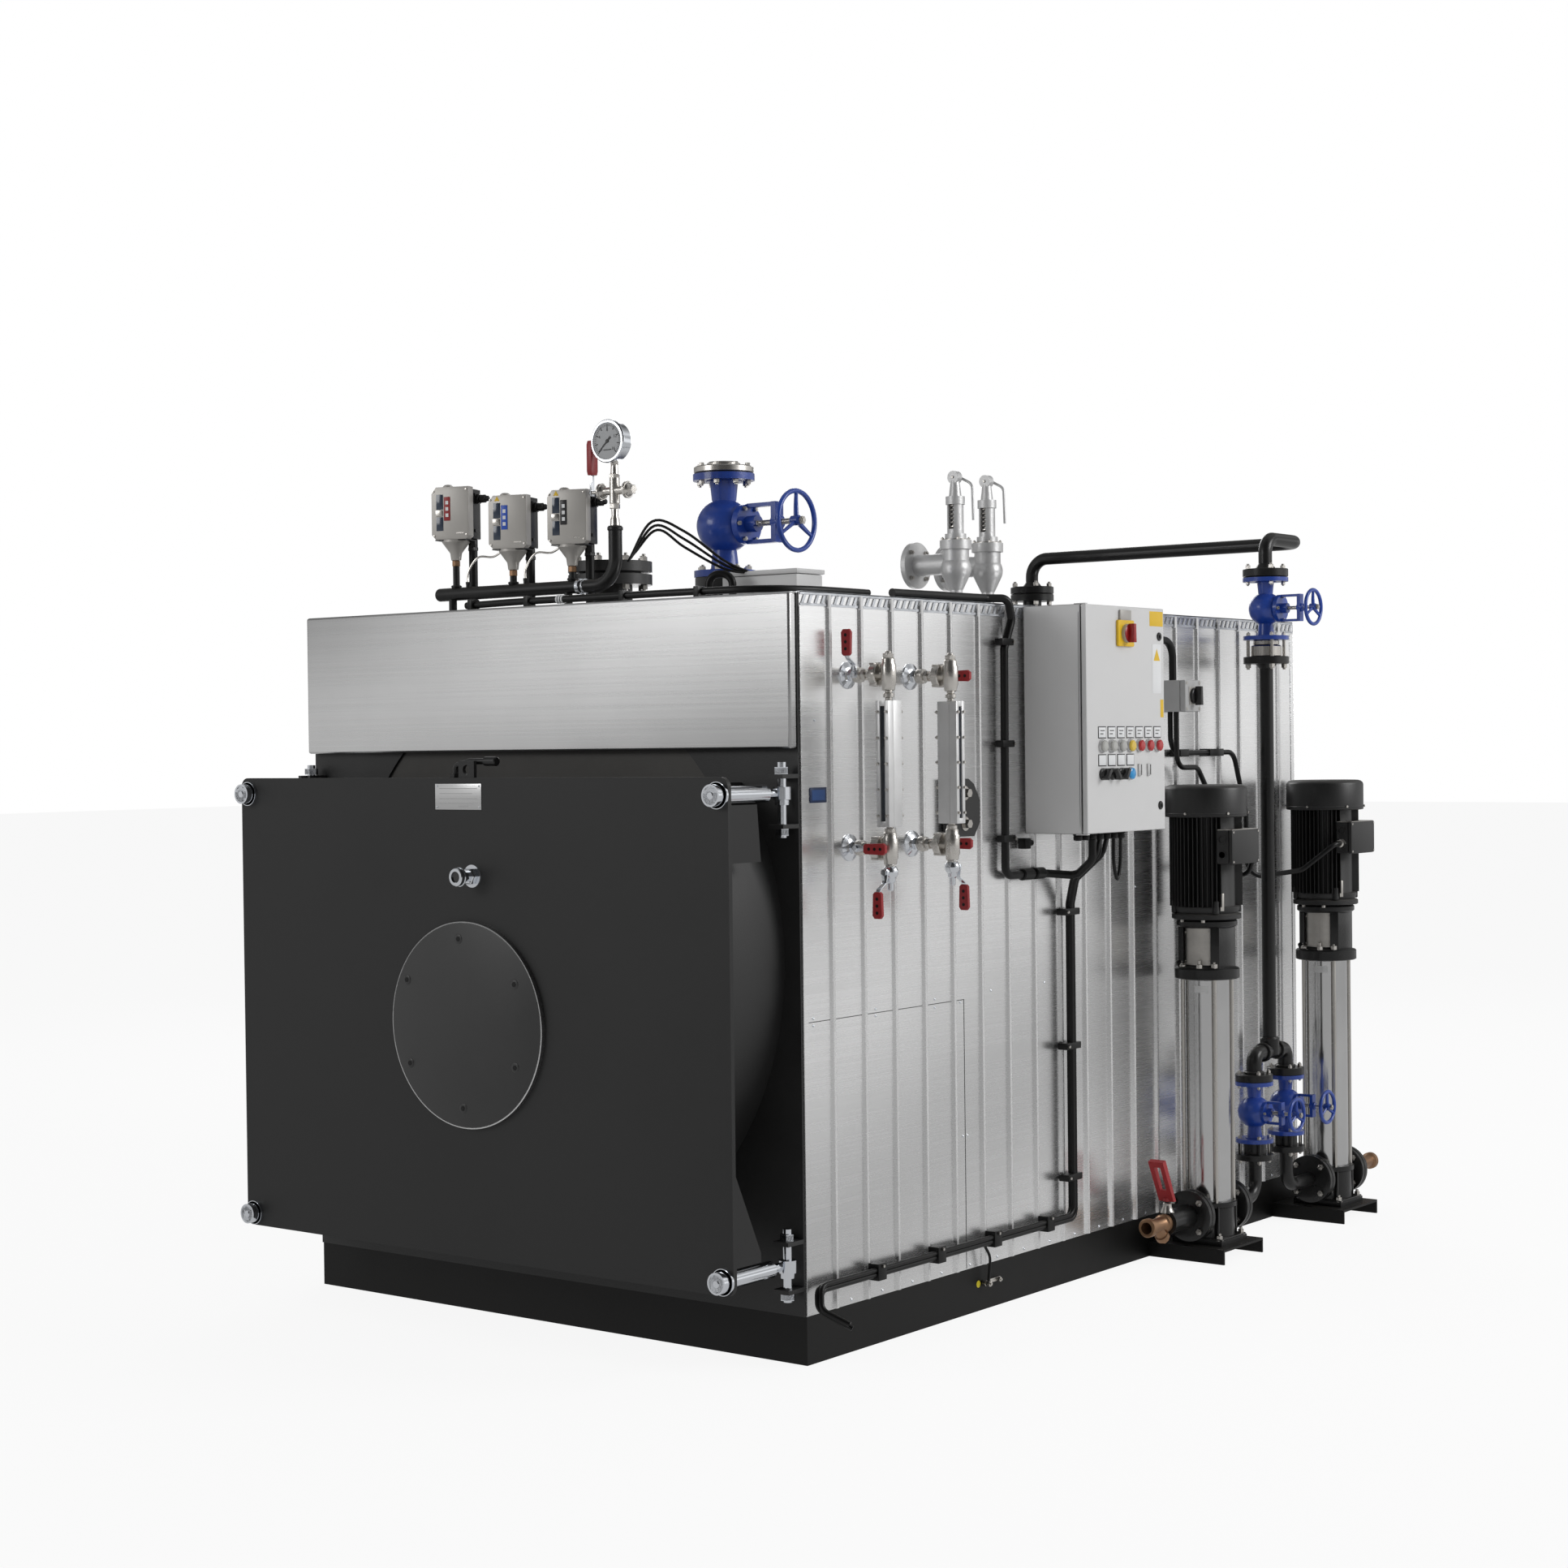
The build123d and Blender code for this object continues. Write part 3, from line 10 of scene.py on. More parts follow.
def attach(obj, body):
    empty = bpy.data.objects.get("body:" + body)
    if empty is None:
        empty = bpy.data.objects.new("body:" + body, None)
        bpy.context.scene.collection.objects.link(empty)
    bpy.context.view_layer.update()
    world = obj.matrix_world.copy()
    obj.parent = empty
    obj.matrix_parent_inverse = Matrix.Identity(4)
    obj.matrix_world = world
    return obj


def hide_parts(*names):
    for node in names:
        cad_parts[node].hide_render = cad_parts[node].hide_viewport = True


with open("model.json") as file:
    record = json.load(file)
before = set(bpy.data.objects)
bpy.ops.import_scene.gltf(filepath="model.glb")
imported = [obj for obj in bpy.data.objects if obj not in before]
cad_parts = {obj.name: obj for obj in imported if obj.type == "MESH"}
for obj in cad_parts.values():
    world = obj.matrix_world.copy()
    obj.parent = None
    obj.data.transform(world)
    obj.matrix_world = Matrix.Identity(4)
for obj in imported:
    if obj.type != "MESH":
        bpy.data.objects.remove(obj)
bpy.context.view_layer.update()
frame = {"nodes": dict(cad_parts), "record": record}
mm = 0.001

# Casing and its ribs, the feed pumps' axis, the height of their ports and how far their lines stand from the riser
half_length = 1525.0
half_width = 1004.0
crest_x = 1013.0
roof_z = 2200
rib_first = 137
rib_pitch = 155
pump_x = 1160
port_z = 155
branch = 120

# Angles of four bolts round an axis, and the way to the front
quarters = (45, 135, 225, 315)
forward = (0, -1, 0)


def back(depth):
    """Y of a depth measured from the front wall."""
    return depth - half_length


def rib_y(number):
    """Y of a casing rib."""
    return back(rib_first + number * rib_pitch)


# Depths of what stands on the casing
steam_y = back(913)
handhole_y = back(335)
feed_y = back(2825)
pump_middle = back(2535)
rear_y = back(3050)
row_y = back(120)
safety_rows = (back(2293), back(2509))
gauge_rows = ((back(228), -1), (back(545), 1))
scene = bpy.context.scene
scene.view_settings.view_transform = "Standard"


# Camera
def look(yaw, pitch, roll):
    """Rotation of a camera from its angles in radians."""
    ahead = Vector((-sin(yaw) * cos(pitch), cos(yaw) * cos(pitch), -sin(pitch)))
    level = Vector((cos(yaw), sin(yaw), 0))
    upright = level.cross(ahead)
    right = cos(roll) * level + sin(roll) * upright
    up = -sin(roll) * level + cos(roll) * upright
    return Matrix((right, up, -ahead)).transposed().to_4x4()


picture_side = 1932
focal_pixels = 3231.27
camera_data = bpy.data.cameras.new("camera")
camera_data.sensor_fit = "HORIZONTAL"
camera_data.sensor_width = 36
camera_data.lens = focal_pixels / picture_side * camera_data.sensor_width
camera_data.shift_x = 3.74 / picture_side
camera_data.shift_y = 1.40 / picture_side
camera_data.clip_end = 200
camera = bpy.data.objects.new("camera", camera_data)
scene.collection.objects.link(camera)
camera.matrix_world = Matrix.Translation((5.508, -7.433, 1.767)) @ look(0.658931102, 0.0154051521, -0.0117682697)
scene.camera = camera


# Shader nodes
def fill(tree, node, inputs):
    """Sets a node's inputs, each to a value or to another node's output."""
    for key, value in inputs.items():
        if isinstance(value, bpy.types.NodeSocket):
            tree.links.new(value, node.inputs[key])
        else:
            node.inputs[key].default_value = value


def add(tree, kind, inputs=None, **properties):
    """Adds a shader node and sets its properties, then its inputs."""
    node = tree.nodes.new("ShaderNode" + kind)
    for key, value in properties.items():
        setattr(node, key, value)
    fill(tree, node, inputs or {})
    return node


def calculate(tree, operation, first, second=0.0):
    """Math node's result."""
    return add(tree, "Math", {0: first, 1: second}, operation=operation).outputs[0]


def ramp_of(tree, source, stops):
    """Colour ramp: the first and last stop, then those between, each a position and a grey level or colour."""
    ramp = add(tree, "ValToRGB", {"Fac": source})
    elements = ramp.color_ramp.elements
    for number, (position, colour) in enumerate(stops):
        stop = elements[number] if number < 2 else elements.new(position)
        stop.position = position
        stop.color = [*colour, 1] if isinstance(colour, (list, tuple)) else [colour] * 3 + [1]
    return ramp.outputs["Color"]


def blend(tree, factor, first, second, kind="MULTIPLY"):
    """Mix of two colours."""
    inputs = {"Factor": factor, 6: first, 7: second}
    return add(tree, "Mix", inputs, data_type="RGBA", blend_type=kind).outputs[2]


def shader_mix(tree, factor, first, second):
    """Mix of two shaders' outputs."""
    return add(tree, "MixShader", {"Fac": factor, 1: first.outputs[0], 2: second.outputs[0]})


# Materials
materials = {}
plain_scale = (1, 1, 1)
brushed = (0.2, 0.2, 32)


def finish(slot, colour, rough, metal=0.0, vary=0.08, patch=3.0, grain=260.0, bump=0.05, stretch=plain_scale,
           coat=0.0, rough_vary=0.06, dust=0.0, specular=0.5, painted_highlight=0.0):
    """Procedural material: patchy colour, uneven gloss, fine grain, a broad painted highlight band and dust on upward
    faces.
    """
    material = bpy.data.materials.new(slot)
    material.use_nodes = True
    tree = material.node_tree
    place = add(tree, "TexCoord").outputs["Object"]
    patches = add(tree, "TexNoise", {"Vector": place, "Scale": patch, "Detail": 5.0, "Roughness": 0.6}).outputs["Fac"]
    stretched = add(tree, "Mapping", {"Vector": place, "Scale": stretch}).outputs["Vector"]
    fine = add(tree, "TexNoise", {"Vector": stretched, "Scale": grain, "Detail": 3.0}).outputs["Fac"]
    gloss = add(tree, "MapRange", {"Value": patches if stretch == plain_scale else fine,
                                   "From Min": 0.3, "From Max": 0.7,
                                   "To Min": max(0.03, rough - rough_vary), "To Max": min(1, rough + rough_vary)})
    relief = add(tree, "Bump", {"Height": fine, "Strength": bump, "Distance": 0.002})
    darker = [c * (1 - vary) for c in colour]
    lighter = [min(1, c * (1 + vary)) for c in colour]
    paint = ramp_of(tree, patches, ((0.3, darker), (0.7, lighter)))
    if stretch != plain_scale:
        paint = blend(tree, 0.12, paint, ramp_of(tree, fine, ((0.35, 0.72), (0.6, 1.0))))
    # Painted highlight: the colour is multiplied by a broad diagonal sine band, darker between its crests, like a
    # highlight sweeping over the sheet
    if painted_highlight:
        along = add(tree, "VectorMath", {0: place, 1: (1.1, 1.5, -4.9)}, operation="DOT_PRODUCT").outputs["Value"]
        wave = calculate(tree, "SINE", calculate(tree, "ADD", along, 1.155))
        highlight_band = add(tree, "MapRange", {"Value": wave, "From Min": -1.0, "To Min": 1 - painted_highlight})
        paint = blend(tree, 1.0, paint, highlight_band.outputs["Result"])
    if dust:
        upward = add(tree, "SeparateXYZ", {"Vector": add(tree, "NewGeometry").outputs["Normal"]}).outputs["Z"]
        amount = add(tree, "MapRange", {"Value": upward, "From Min": 0.4, "To Max": dust}).outputs["Result"]
        paint = blend(tree, amount, paint, (0.42, 0.4, 0.37, 1), "MIX")
    fill(tree, tree.nodes["Principled BSDF"], {
        "Base Color": paint, "Roughness": gloss.outputs["Result"], "Normal": relief.outputs["Normal"],
        "Metallic": metal, "Coat Weight": coat, "Coat Roughness": 0.12, "Specular IOR Level": specular})
    material.diffuse_color = [*colour, 1]
    materials[slot] = material


def shade(level, tint=(1, 1, 1)):
    """Neutral colour of a level, times a tint."""
    return [level * c for c in tint]


cool = (0.96, 0.99, 1.04)
warm = (1.04, 1.0, 0.94)
finish("frame_black", shade(0.006, warm), 0.45, vary=0.2, bump=0.1, dust=0.03, specular=0.25)
# The ribbed sheet and the hood get a broad diagonal highlight band painted into their colour
finish("ribbed_sheet", shade(0.95), 0.27, metal=0.92, vary=0.05, patch=1.2, grain=5, bump=0.0005,
       stretch=brushed, rough_vary=0.015, painted_highlight=0.25)
finish("hood_steel", shade(0.72), 0.28, metal=1.0, patch=0.9, grain=5, bump=0.002,
       stretch=brushed, rough_vary=0.015, painted_highlight=0.45)
finish("panel_black", shade(0.02), 0.5, vary=0.2, bump=0.15)
finish("vessel_steel", shade(0.06, warm), 0.5, metal=0.4, vary=0.25, bump=0.08)
finish("flue_steel", shade(0.07), 0.5, metal=0.3, vary=0.2, bump=0.2)
finish("chrome", shade(0.82, cool), 0.14, metal=1.0, vary=0.04, bump=0.01, rough_vary=0.04)
finish("door_black", shade(0.02), 0.48, vary=0.14, patch=1.5, grain=420, bump=0.12, dust=0.06, specular=0.35)
finish("lining_board", (0.5, 0.46, 0.38), 0.95, vary=0.15, grain=120, bump=0.6)
finish("plate_black", shade(0.028), 0.4, vary=0.16, bump=0.08)
finish("pipe_black", shade(0.009), 0.32, vary=0.2, bump=0.08, coat=0.12, dust=0.06, specular=0.35)
finish("switch_grey", shade(0.42, warm), 0.4, metal=0.35, bump=0.06, dust=0.15)
finish("lever_red", (0.3, 0.014, 0.018), 0.42, vary=0.2, bump=0.12)
finish("nozzle_black", shade(0.022), 0.35, vary=0.2, bump=0.1, dust=0.2)
finish("stainless", shade(0.55, warm), 0.28, metal=1.0, vary=0.12, bump=0.06)
finish("valve_blue", (0.012, 0.055, 0.34), 0.32, vary=0.22, patch=6, grain=90, bump=0.25, coat=0.35, dust=0.06)
finish("valve_silver", shade(0.66), 0.42, metal=0.55, patch=8, grain=120, bump=0.3)
finish("cast_black", shade(0.009), 0.32, vary=0.25, patch=7, grain=110, bump=0.3, coat=0.12, specular=0.4)
finish("sleeve_steel", shade(0.6), 0.16, metal=1.0, patch=2, bump=0.02)
finish("motor_black", shade(0.014), 0.42, vary=0.2, bump=0.12, dust=0.12)
finish("brass", (0.34, 0.2, 0.115), 0.42, metal=0.85, vary=0.2, patch=9, grain=140, bump=0.2)
finish("fitting_nickel", shade(0.62, warm), 0.26, metal=0.95, vary=0.15, patch=10, grain=150, bump=0.2)
finish("column_silver", shade(0.7), 0.38, metal=0.7, patch=6, bump=0.1)
finish("gauge_glass", shade(0.012), 0.08, vary=0.3, bump=0.0, coat=0.5)
finish("cabinet_grey", shade(0.66), 0.4, vary=0.025, patch=1, grain=520, bump=0.08)
finish("switch_yellow", (0.8, 0.5, 0.01), 0.3, vary=0.05, bump=0.02)
finish("knob_red", (0.32, 0.012, 0.012), 0.28, bump=0.04)
finish("lamp_mix", shade(0.6), 0.25, metal=0.6, vary=0.05, bump=0.02)
finish("box_grey", shade(0.42), 0.5, vary=0.04, bump=0.06, dust=0.1)
finish("knob_black", shade(0.015), 0.3, vary=0.1, bump=0.03)
finish("tray_zinc", shade(0.55, cool), 0.4, metal=0.8, vary=0.18, patch=22, grain=60, bump=0.1)
finish("conduit_black", shade(0.005), 0.36, vary=0.2, dust=0.03, specular=0.3)
for entry in frame["record"]["subparts"]:
    part = frame["nodes"][entry["node"]]
    part.data.materials.clear()
    part.data.materials.append(materials[entry["material_slot"]])

# Paints of pieces that only the scene has
finish("plate_blue", (0.006, 0.02, 0.07), 0.35, vary=0.1)
finish("plate_field_blue", (0.015, 0.06, 0.2), 0.35, vary=0.1)
finish("earth_yellow", (0.6, 0.5, 0.02), 0.4)
# Less metallic, more diffuse copy of the sheet, so the rib crests show as bright lines: a painted highlight
finish("crest_highlight", shade(0.72), 0.3, metal=0.25, vary=0.05)
finish("window_blue", (0.03, 0.045, 0.075), 0.15, vary=0.2, coat=0.5)
finish("label_red", (0.3, 0.012, 0.014), 0.4)
finish("label_blue", (0.02, 0.09, 0.5), 0.4)
finish("label_dark", (0.02, 0.02, 0.022), 0.4)
finish("dial_white", (0.78, 0.79, 0.8), 0.35, vary=0.03)
finish("mark_black", (0.01, 0.01, 0.012), 0.4, vary=0.1)
finish("mark_yellow", (0.78, 0.5, 0.02), 0.4, vary=0.05)
finish("dial_face", (0.36, 0.37, 0.38), 0.35, vary=0.06)
finish("lens_clear", (0.42, 0.42, 0.4), 0.15, vary=0.05, coat=0.4)
finish("lens_yellow", (0.72, 0.5, 0.05), 0.15, vary=0.05, coat=0.4)
finish("lens_red", (0.42, 0.008, 0.012), 0.15, vary=0.05, coat=0.4)
finish("lens_blue", (0.02, 0.28, 0.62), 0.2, vary=0.05, coat=0.3)
finish("guard_steel", shade(0.5, warm), 0.4, metal=0.9, vary=0.18, patch=14, bump=0.1)


# Floor, sky and lamps
def floor_of(reach):
    """White floor that keeps the object's shadow and shows white to the camera, metal and glass."""
    white = bpy.data.materials.new("floor_white")
    white.use_nodes = True
    tree = white.node_tree
    tree.nodes.remove(tree.nodes["Principled BSDF"])
    path = add(tree, "LightPath").outputs
    level = add(tree, "MapRange", {"Value": path["Is Glossy Ray"], "To Min": 1.0, "To Max": 0.5})
    glow = add(tree, "Emission", {"Strength": level.outputs["Result"]})
    diffuse = add(tree, "BsdfDiffuse", {"Color": (0.92, 0.92, 0.92, 1)})
    seen = calculate(tree, "MAXIMUM", path["Is Camera Ray"], path["Is Glossy Ray"])
    seen = calculate(tree, "MAXIMUM", seen, path["Is Transmission Ray"])
    mix = shader_mix(tree, calculate(tree, "MULTIPLY", seen, 0.9), diffuse, glow)
    fill(tree, tree.nodes["Material Output"], {"Surface": mix.outputs[0]})
    mesh = bpy.data.meshes.new("floor")
    corners = [(x * reach, y * reach, 0) for x, y in ((-1, -1), (1, -1), (1, 1), (-1, 1))]
    mesh.from_pydata(corners, [], [(0, 1, 2, 3)])
    floor = bpy.data.objects.new("floor", mesh)
    scene.collection.objects.link(floor)
    floor.data.materials.append(white)
    floor.location.z = -mm


def sky():
    """White world with soft light, and with bright and dark walls where metal mirrors it."""
    world = bpy.data.worlds.new("studio")
    scene.world = world
    world.use_nodes = True
    tree = world.node_tree
    tree.nodes.clear()
    white = (1, 1, 1, 1)
    light = add(tree, "Background", {"Strength": 0.4, "Color": white})
    plain = add(tree, "Background", {"Strength": 1.0, "Color": white})
    split = add(tree, "SeparateXYZ", {0: add(tree, "TexCoord").outputs["Generated"]}).outputs
    heights = ramp_of(tree, split["Z"], ((0.0, 0.95), (0.9, (0.55, 0.56, 0.57)),
                                         (0.12, 0.95), (0.28, 0.3), (0.45, 0.85), (0.62, 0.35)))
    angle = calculate(tree, "ARCTAN2", split["Y"], split["X"])
    turn = add(tree, "MapRange", {"Value": angle, "From Min": -pi, "From Max": pi}).outputs["Result"]
    wall_levels = ((-150, 0.72), (-125, 0.6), (-100, 0.3), (-72, 0.08), (-25, 0.06), (-8, 0.55), (6, 1.0),
                   (24, 0.8), (52, 1.0), (80, 0.8), (100, 0.25), (130, 0.6), (160, 0.3))
    walls = ramp_of(tree, turn, [(0.0, 0.5), (1.0, 0.5)] + [((degrees + 180) / 360, bright)
                                                            for degrees, bright in wall_levels])
    mirrored = add(tree, "Background", {"Strength": 1.0, "Color": blend(tree, 1.0, heights, walls)})
    path = add(tree, "LightPath").outputs
    glossy = shader_mix(tree, path["Is Glossy Ray"], light, mirrored)
    through = shader_mix(tree, path["Is Transmission Ray"], glossy, plain)
    seen = shader_mix(tree, path["Is Camera Ray"], through, plain)
    add(tree, "OutputWorld", {"Surface": seen.outputs[0]})


def lamp(name, spot, target, size, power):
    """Soft square lamp."""
    data = bpy.data.lights.new(name, "AREA")
    data.shape = "RECTANGLE"
    data.size, data.size_y = size
    data.energy = power
    piece = bpy.data.objects.new(name, data)
    scene.collection.objects.link(piece)
    piece.location = spot
    piece.rotation_euler = (Vector(target) - Vector(spot)).to_track_quat("-Z", "Y").to_euler()


floor_of(60)
sky()
lamp("key", (8.5, 3.5, 5.5), (1.0, 0, 1.2), (4.5, 3.0), 370)
lamp("front_fill", (-3.5, -8.5, 4.5), (0, -1.5, 1.2), (4.0, 2.5), 130)
lamp("rear_fill", (-5.0, 6.0, 5.0), (0, 0.5, 1.2), (4.0, 3.0), 130)


# Mesh helpers, in millimetres
def way_of(axis):
    """Unit vector of an axis named by a letter or given as a direction."""
    return Vector([letter == axis for letter in "xyz"]) if isinstance(axis, str) else Vector(axis).normalized()


def circle(radius, count, start=0.0):
    """Points of a ring, from a share of the first step."""
    angles = [(k + start) * tau / count for k in range(count)]
    return [(radius * cos(angle), radius * sin(angle)) for angle in angles]


def polar(radius, degrees, x=0, y=0):
    """Point on a circle round a centre."""
    return x + radius * cos(radians(degrees)), y + radius * sin(radians(degrees))


def turned(at, degrees, axis="Z"):
    """Placement at a point, turned about an axis."""
    return Matrix.Translation(at) @ Matrix.Rotation(radians(degrees), 4, axis)


class Shape:
    """One mesh piece under construction."""

    def __init__(self, x=0, y=0, z=0):
        self.bm = bmesh.new()
        self.origin = Matrix.Translation((x, y, z))

    def tube(self, rings, closed=False):
        """Faces between rings of vertices, of which the first or last may be a single point."""
        for first, second in zip(rings, rings[1:] + rings[:1] if closed else rings[1:]):
            count = max(len(first), len(second))
            for k in range(count):
                n = (k + 1) % count
                if len(first) == 1:
                    self.bm.faces.new((first[0], second[k], second[n]))
                elif len(second) == 1:
                    self.bm.faces.new((first[k], first[n], second[0]))
                else:
                    self.bm.faces.new((first[k], first[n], second[n], second[k]))

    def lathe(self, at, axis, profile, sides=32):
        """Turned form: profile is (distance along the axis, radius) from the start."""
        way = way_of(axis)
        turn = way.to_track_quat("Z", "Y").to_matrix()
        rings = []
        for along, radius in profile:
            points = [turn @ Vector((*spot, along)) for spot in circle(radius, sides)] if radius > 0 else [way * along]
            rings.append([self.bm.verts.new(Vector(at) + point) for point in points])
        for ring in (rings[0], rings[-1]):
            if len(ring) > 1:
                self.bm.faces.new(ring)
        self.tube(rings)
        return self

    def stack(self, axis, *rows, at=(0, 0, 0)):
        """Turned forms on one axis: each row is a distance from the start, the sides and a profile."""
        for distance, sides, profile in rows:
            self.lathe(Vector(at) + way_of(axis) * distance, axis, profile, sides)
        return self

    def rod(self, at, axis, length, radius, sides=24, edge=1.0):
        """Round bar or disc with chamfered ends."""
        c = min(edge, radius * 0.4, abs(length) * 0.3)
        return self.lathe(at, axis, [(0, radius - c), (c, radius), (length - c, radius), (length, radius - c)], sides)

    def ring(self, at, axis, length, radius, bore, sides=32, edge=1.0):
        """Flat ring with a bore."""
        c = min(edge, abs(length) * 0.3)
        first = len(self.bm.faces)
        self.lathe(at, axis, [(0, bore), (0, radius - c), (c, radius), (length - c, radius), (length, radius - c),
                              (length, bore), (0, bore)], sides)
        self.bm.faces.ensure_lookup_table()
        for face in [f for f in self.bm.faces[first:] if len(f.verts) > 4]:
            self.bm.faces.remove(face)
        return self

    def nut(self, at, axis, length, radius):
        """Hexagon with chamfered ends."""
        inner = radius * 0.9
        edge = radius * 0.1
        return self.lathe(at, axis, [(0, inner), (edge, radius), (length - edge, radius), (length, inner)], 6)

    def bolt(self, at, axis, radius, stud=0.0):
        """Hexagon head or nut on a flange, with a stud end when asked."""
        height = radius * 1.3
        self.nut(at, axis, height, radius)
        if stud:
            self.rod(Vector(at) + way_of(axis) * height, axis, stud, radius * 0.5, 12, 0.6)
        return self

    def bolts(self, at, axis, reach, count, radius, stud=0.0, start=0.5, flip=False):
        """Ring of bolts round an axis."""
        way = way_of(axis)
        turn = way.to_track_quat("Z", "Y").to_matrix()
        for spot in circle(reach, count, start):
            self.bolt(Vector(at) + turn @ Vector((*spot, 0)), -way if flip else way, radius, stud)
        return self

    def soften(self, edges, edge):
        """Rounds edges by a small bevel."""
        if edge:
            bmesh.ops.bevel(self.bm, geom=list(edges), offset=edge, segments=2, affect="EDGES", profile=0.6)

    def block(self, low, high, edge=0.0, place=None):
        """Box between two opposite corners, with rounded edges and a placement when asked."""
        since = self.mark()
        made = bmesh.ops.create_cube(self.bm, size=1)["verts"]
        size = Vector([abs(b - a) for a, b in zip(low, high)])
        middle = (Vector(low) + Vector(high)) / 2
        for v in made:
            v.co = v.co * size + middle
        self.soften({e for v in made for e in v.link_edges}, edge)
        return self.move(place, since) if place else self

    def sheet(self, corners):
        """One flat face."""
        self.bm.faces.new([self.bm.verts.new(corner) for corner in corners])

    def prism(self, outline, axis, start, length, edge=0.0):
        """Flat outline in the two other axes, pushed along an axis."""
        order = {"x": lambda a, b, c: (c, a, b), "y": lambda a, b, c: (a, c, b), "z": lambda a, b, c: (a, b, c)}[axis]
        first = [self.bm.verts.new(order(a, b, start)) for a, b in outline]
        second = [self.bm.verts.new(order(a, b, start + length)) for a, b in outline]
        faces = [self.bm.faces.new(first[::-1]), self.bm.faces.new(second)]
        for k in range(len(first)):
            n = (k + 1) % len(first)
            faces.append(self.bm.faces.new((first[k], first[n], second[n], second[k])))
        bmesh.ops.recalc_face_normals(self.bm, faces=faces)
        self.soften({e for f in faces[:2] for e in f.edges}, edge)
        return self

    def sweep(self, points, radius, sides=12, closed=False, flat=1.0):
        """Tube along a line of points, with a frame carried from point to point."""
        points = [Vector(p) for p in points]
        count = len(points)
        ways = []
        for k in range(count):
            a = points[(k - 1) % count] if closed or k else points[k]
            b = points[(k + 1) % count] if closed or k < count - 1 else points[k]
            ways.append((b - a).normalized())
        side = ways[0].orthogonal().normalized()
        rings = []
        for k, point in enumerate(points):
            side = (side - ways[k] * side.dot(ways[k])).normalized()
            over = ways[k].cross(side) * flat
            size = radius(k / (count - 1)) if callable(radius) else radius
            rings.append([self.bm.verts.new(point + side * a + over * b) for a, b in circle(size, sides)])
        self.tube(rings, closed)
        if not closed:
            self.bm.faces.new(rings[0][::-1])
            self.bm.faces.new(rings[-1])
        return self

    def ball(self, at, radius, squash=(1, 1, 1), sides=24):
        """Smooth ball, stretched when asked."""
        made = bmesh.ops.create_uvsphere(self.bm, u_segments=sides, v_segments=sides // 2, radius=radius)["verts"]
        for v in made:
            v.co = v.co * Vector(squash) + Vector(at)
        return self

    def mark(self):
        """Vertex count, from which move() can start."""
        return len(self.bm.verts)

    def move(self, matrix, since=0):
        """Moves what was made since a vertex count."""
        self.bm.verts.ensure_lookup_table()
        for v in self.bm.verts[since:]:
            v.co = matrix @ v.co
        return self

    def done(self, name, slot=None, body="boiler", stands_for=(), bevel=0.0, coat=None):
        """Turns the mesh into a piece on a body, in a slot or in a coat of its own."""
        self.move(self.origin)
        bmesh.ops.recalc_face_normals(self.bm, faces=self.bm.faces)
        mesh = bpy.data.meshes.new(name)
        self.bm.to_mesh(mesh)
        self.bm.free()
        mesh.transform(Matrix.Scale(mm, 4))
        mesh.shade_smooth()
        mesh.set_sharp_from_angle(angle=radians(32))
        piece = bpy.data.objects.new(name, mesh)
        scene.collection.objects.link(piece)
        mesh.materials.append(materials[coat or slot])
        if bevel:
            rounder = piece.modifiers.new("edges", "BEVEL")
            rounder.width = bevel * mm
            rounder.segments = 2
            rounder.limit_method = "ANGLE"
            rounder.angle_limit = radians(40)
        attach(piece, body)
        if stands_for:
            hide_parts(*stands_for)


def slab(name, low, high, edge=0.0, **keep):
    """Piece made of one box."""
    Shape().block(low, high, edge).done(name, **keep)


def rounded(points, bend, steps=8):
    """Pipe line with round elbows."""
    points = [Vector(p) for p in points]
    line = [points[0]]
    for before, corner, after in zip(points, points[1:], points[2:]):
        first = (before - corner).normalized()
        second = (after - corner).normalized()
        half = first.angle(second) / 2
        reach = min(bend / tan(half), (before - corner).length * 0.49, (after - corner).length * 0.49)
        middle = corner + (first + second).normalized() * (reach * tan(half) / sin(half))
        start, end = corner + first * reach - middle, corner + second * reach - middle
        whole = start.angle(end)
        for k in range(steps + 1):
            t = k / steps
            line.append(middle + (start * sin((1 - t) * whole) + end * sin(t * whole)) / sin(whole))
    line.append(points[-1])
    return line


def smooth_line(points, steps=8):
    """Even curve through points."""
    points = [Vector(p) for p in points]
    padded = [points[0] * 2 - points[1]] + points + [points[-1] * 2 - points[-2]]
    line = []
    for a, b, c, d in zip(padded, padded[1:], padded[2:], padded[3:]):
        for k in range(steps):
            t = k / steps
            line.append(0.5 * ((2 * b) + (c - a) * t + (2 * a - 5 * b + 4 * c - d) * t * t
                               + (3 * b - a - 3 * c + d) * t * t * t))
    line.append(points[-1])
    return line


# Casing: hood, slotted tray, screws, seams, blank plate and earth stud
def rivet(shape, at, axis="x", radius=4.5):
    """Domed screw head on a washer."""
    shape.lathe(at, axis, [(0, radius * 1.5), (0.8, radius * 1.45), (0.9, radius), (2.0, radius * 0.9),
                           (3.0, radius * 0.5), (3.3, 0)], 12)


slab("hood", (-1000, back(-41), 1755), (1000, back(-8), roof_z), slot="hood_steel", stands_for=["front_hood"], bevel=7)

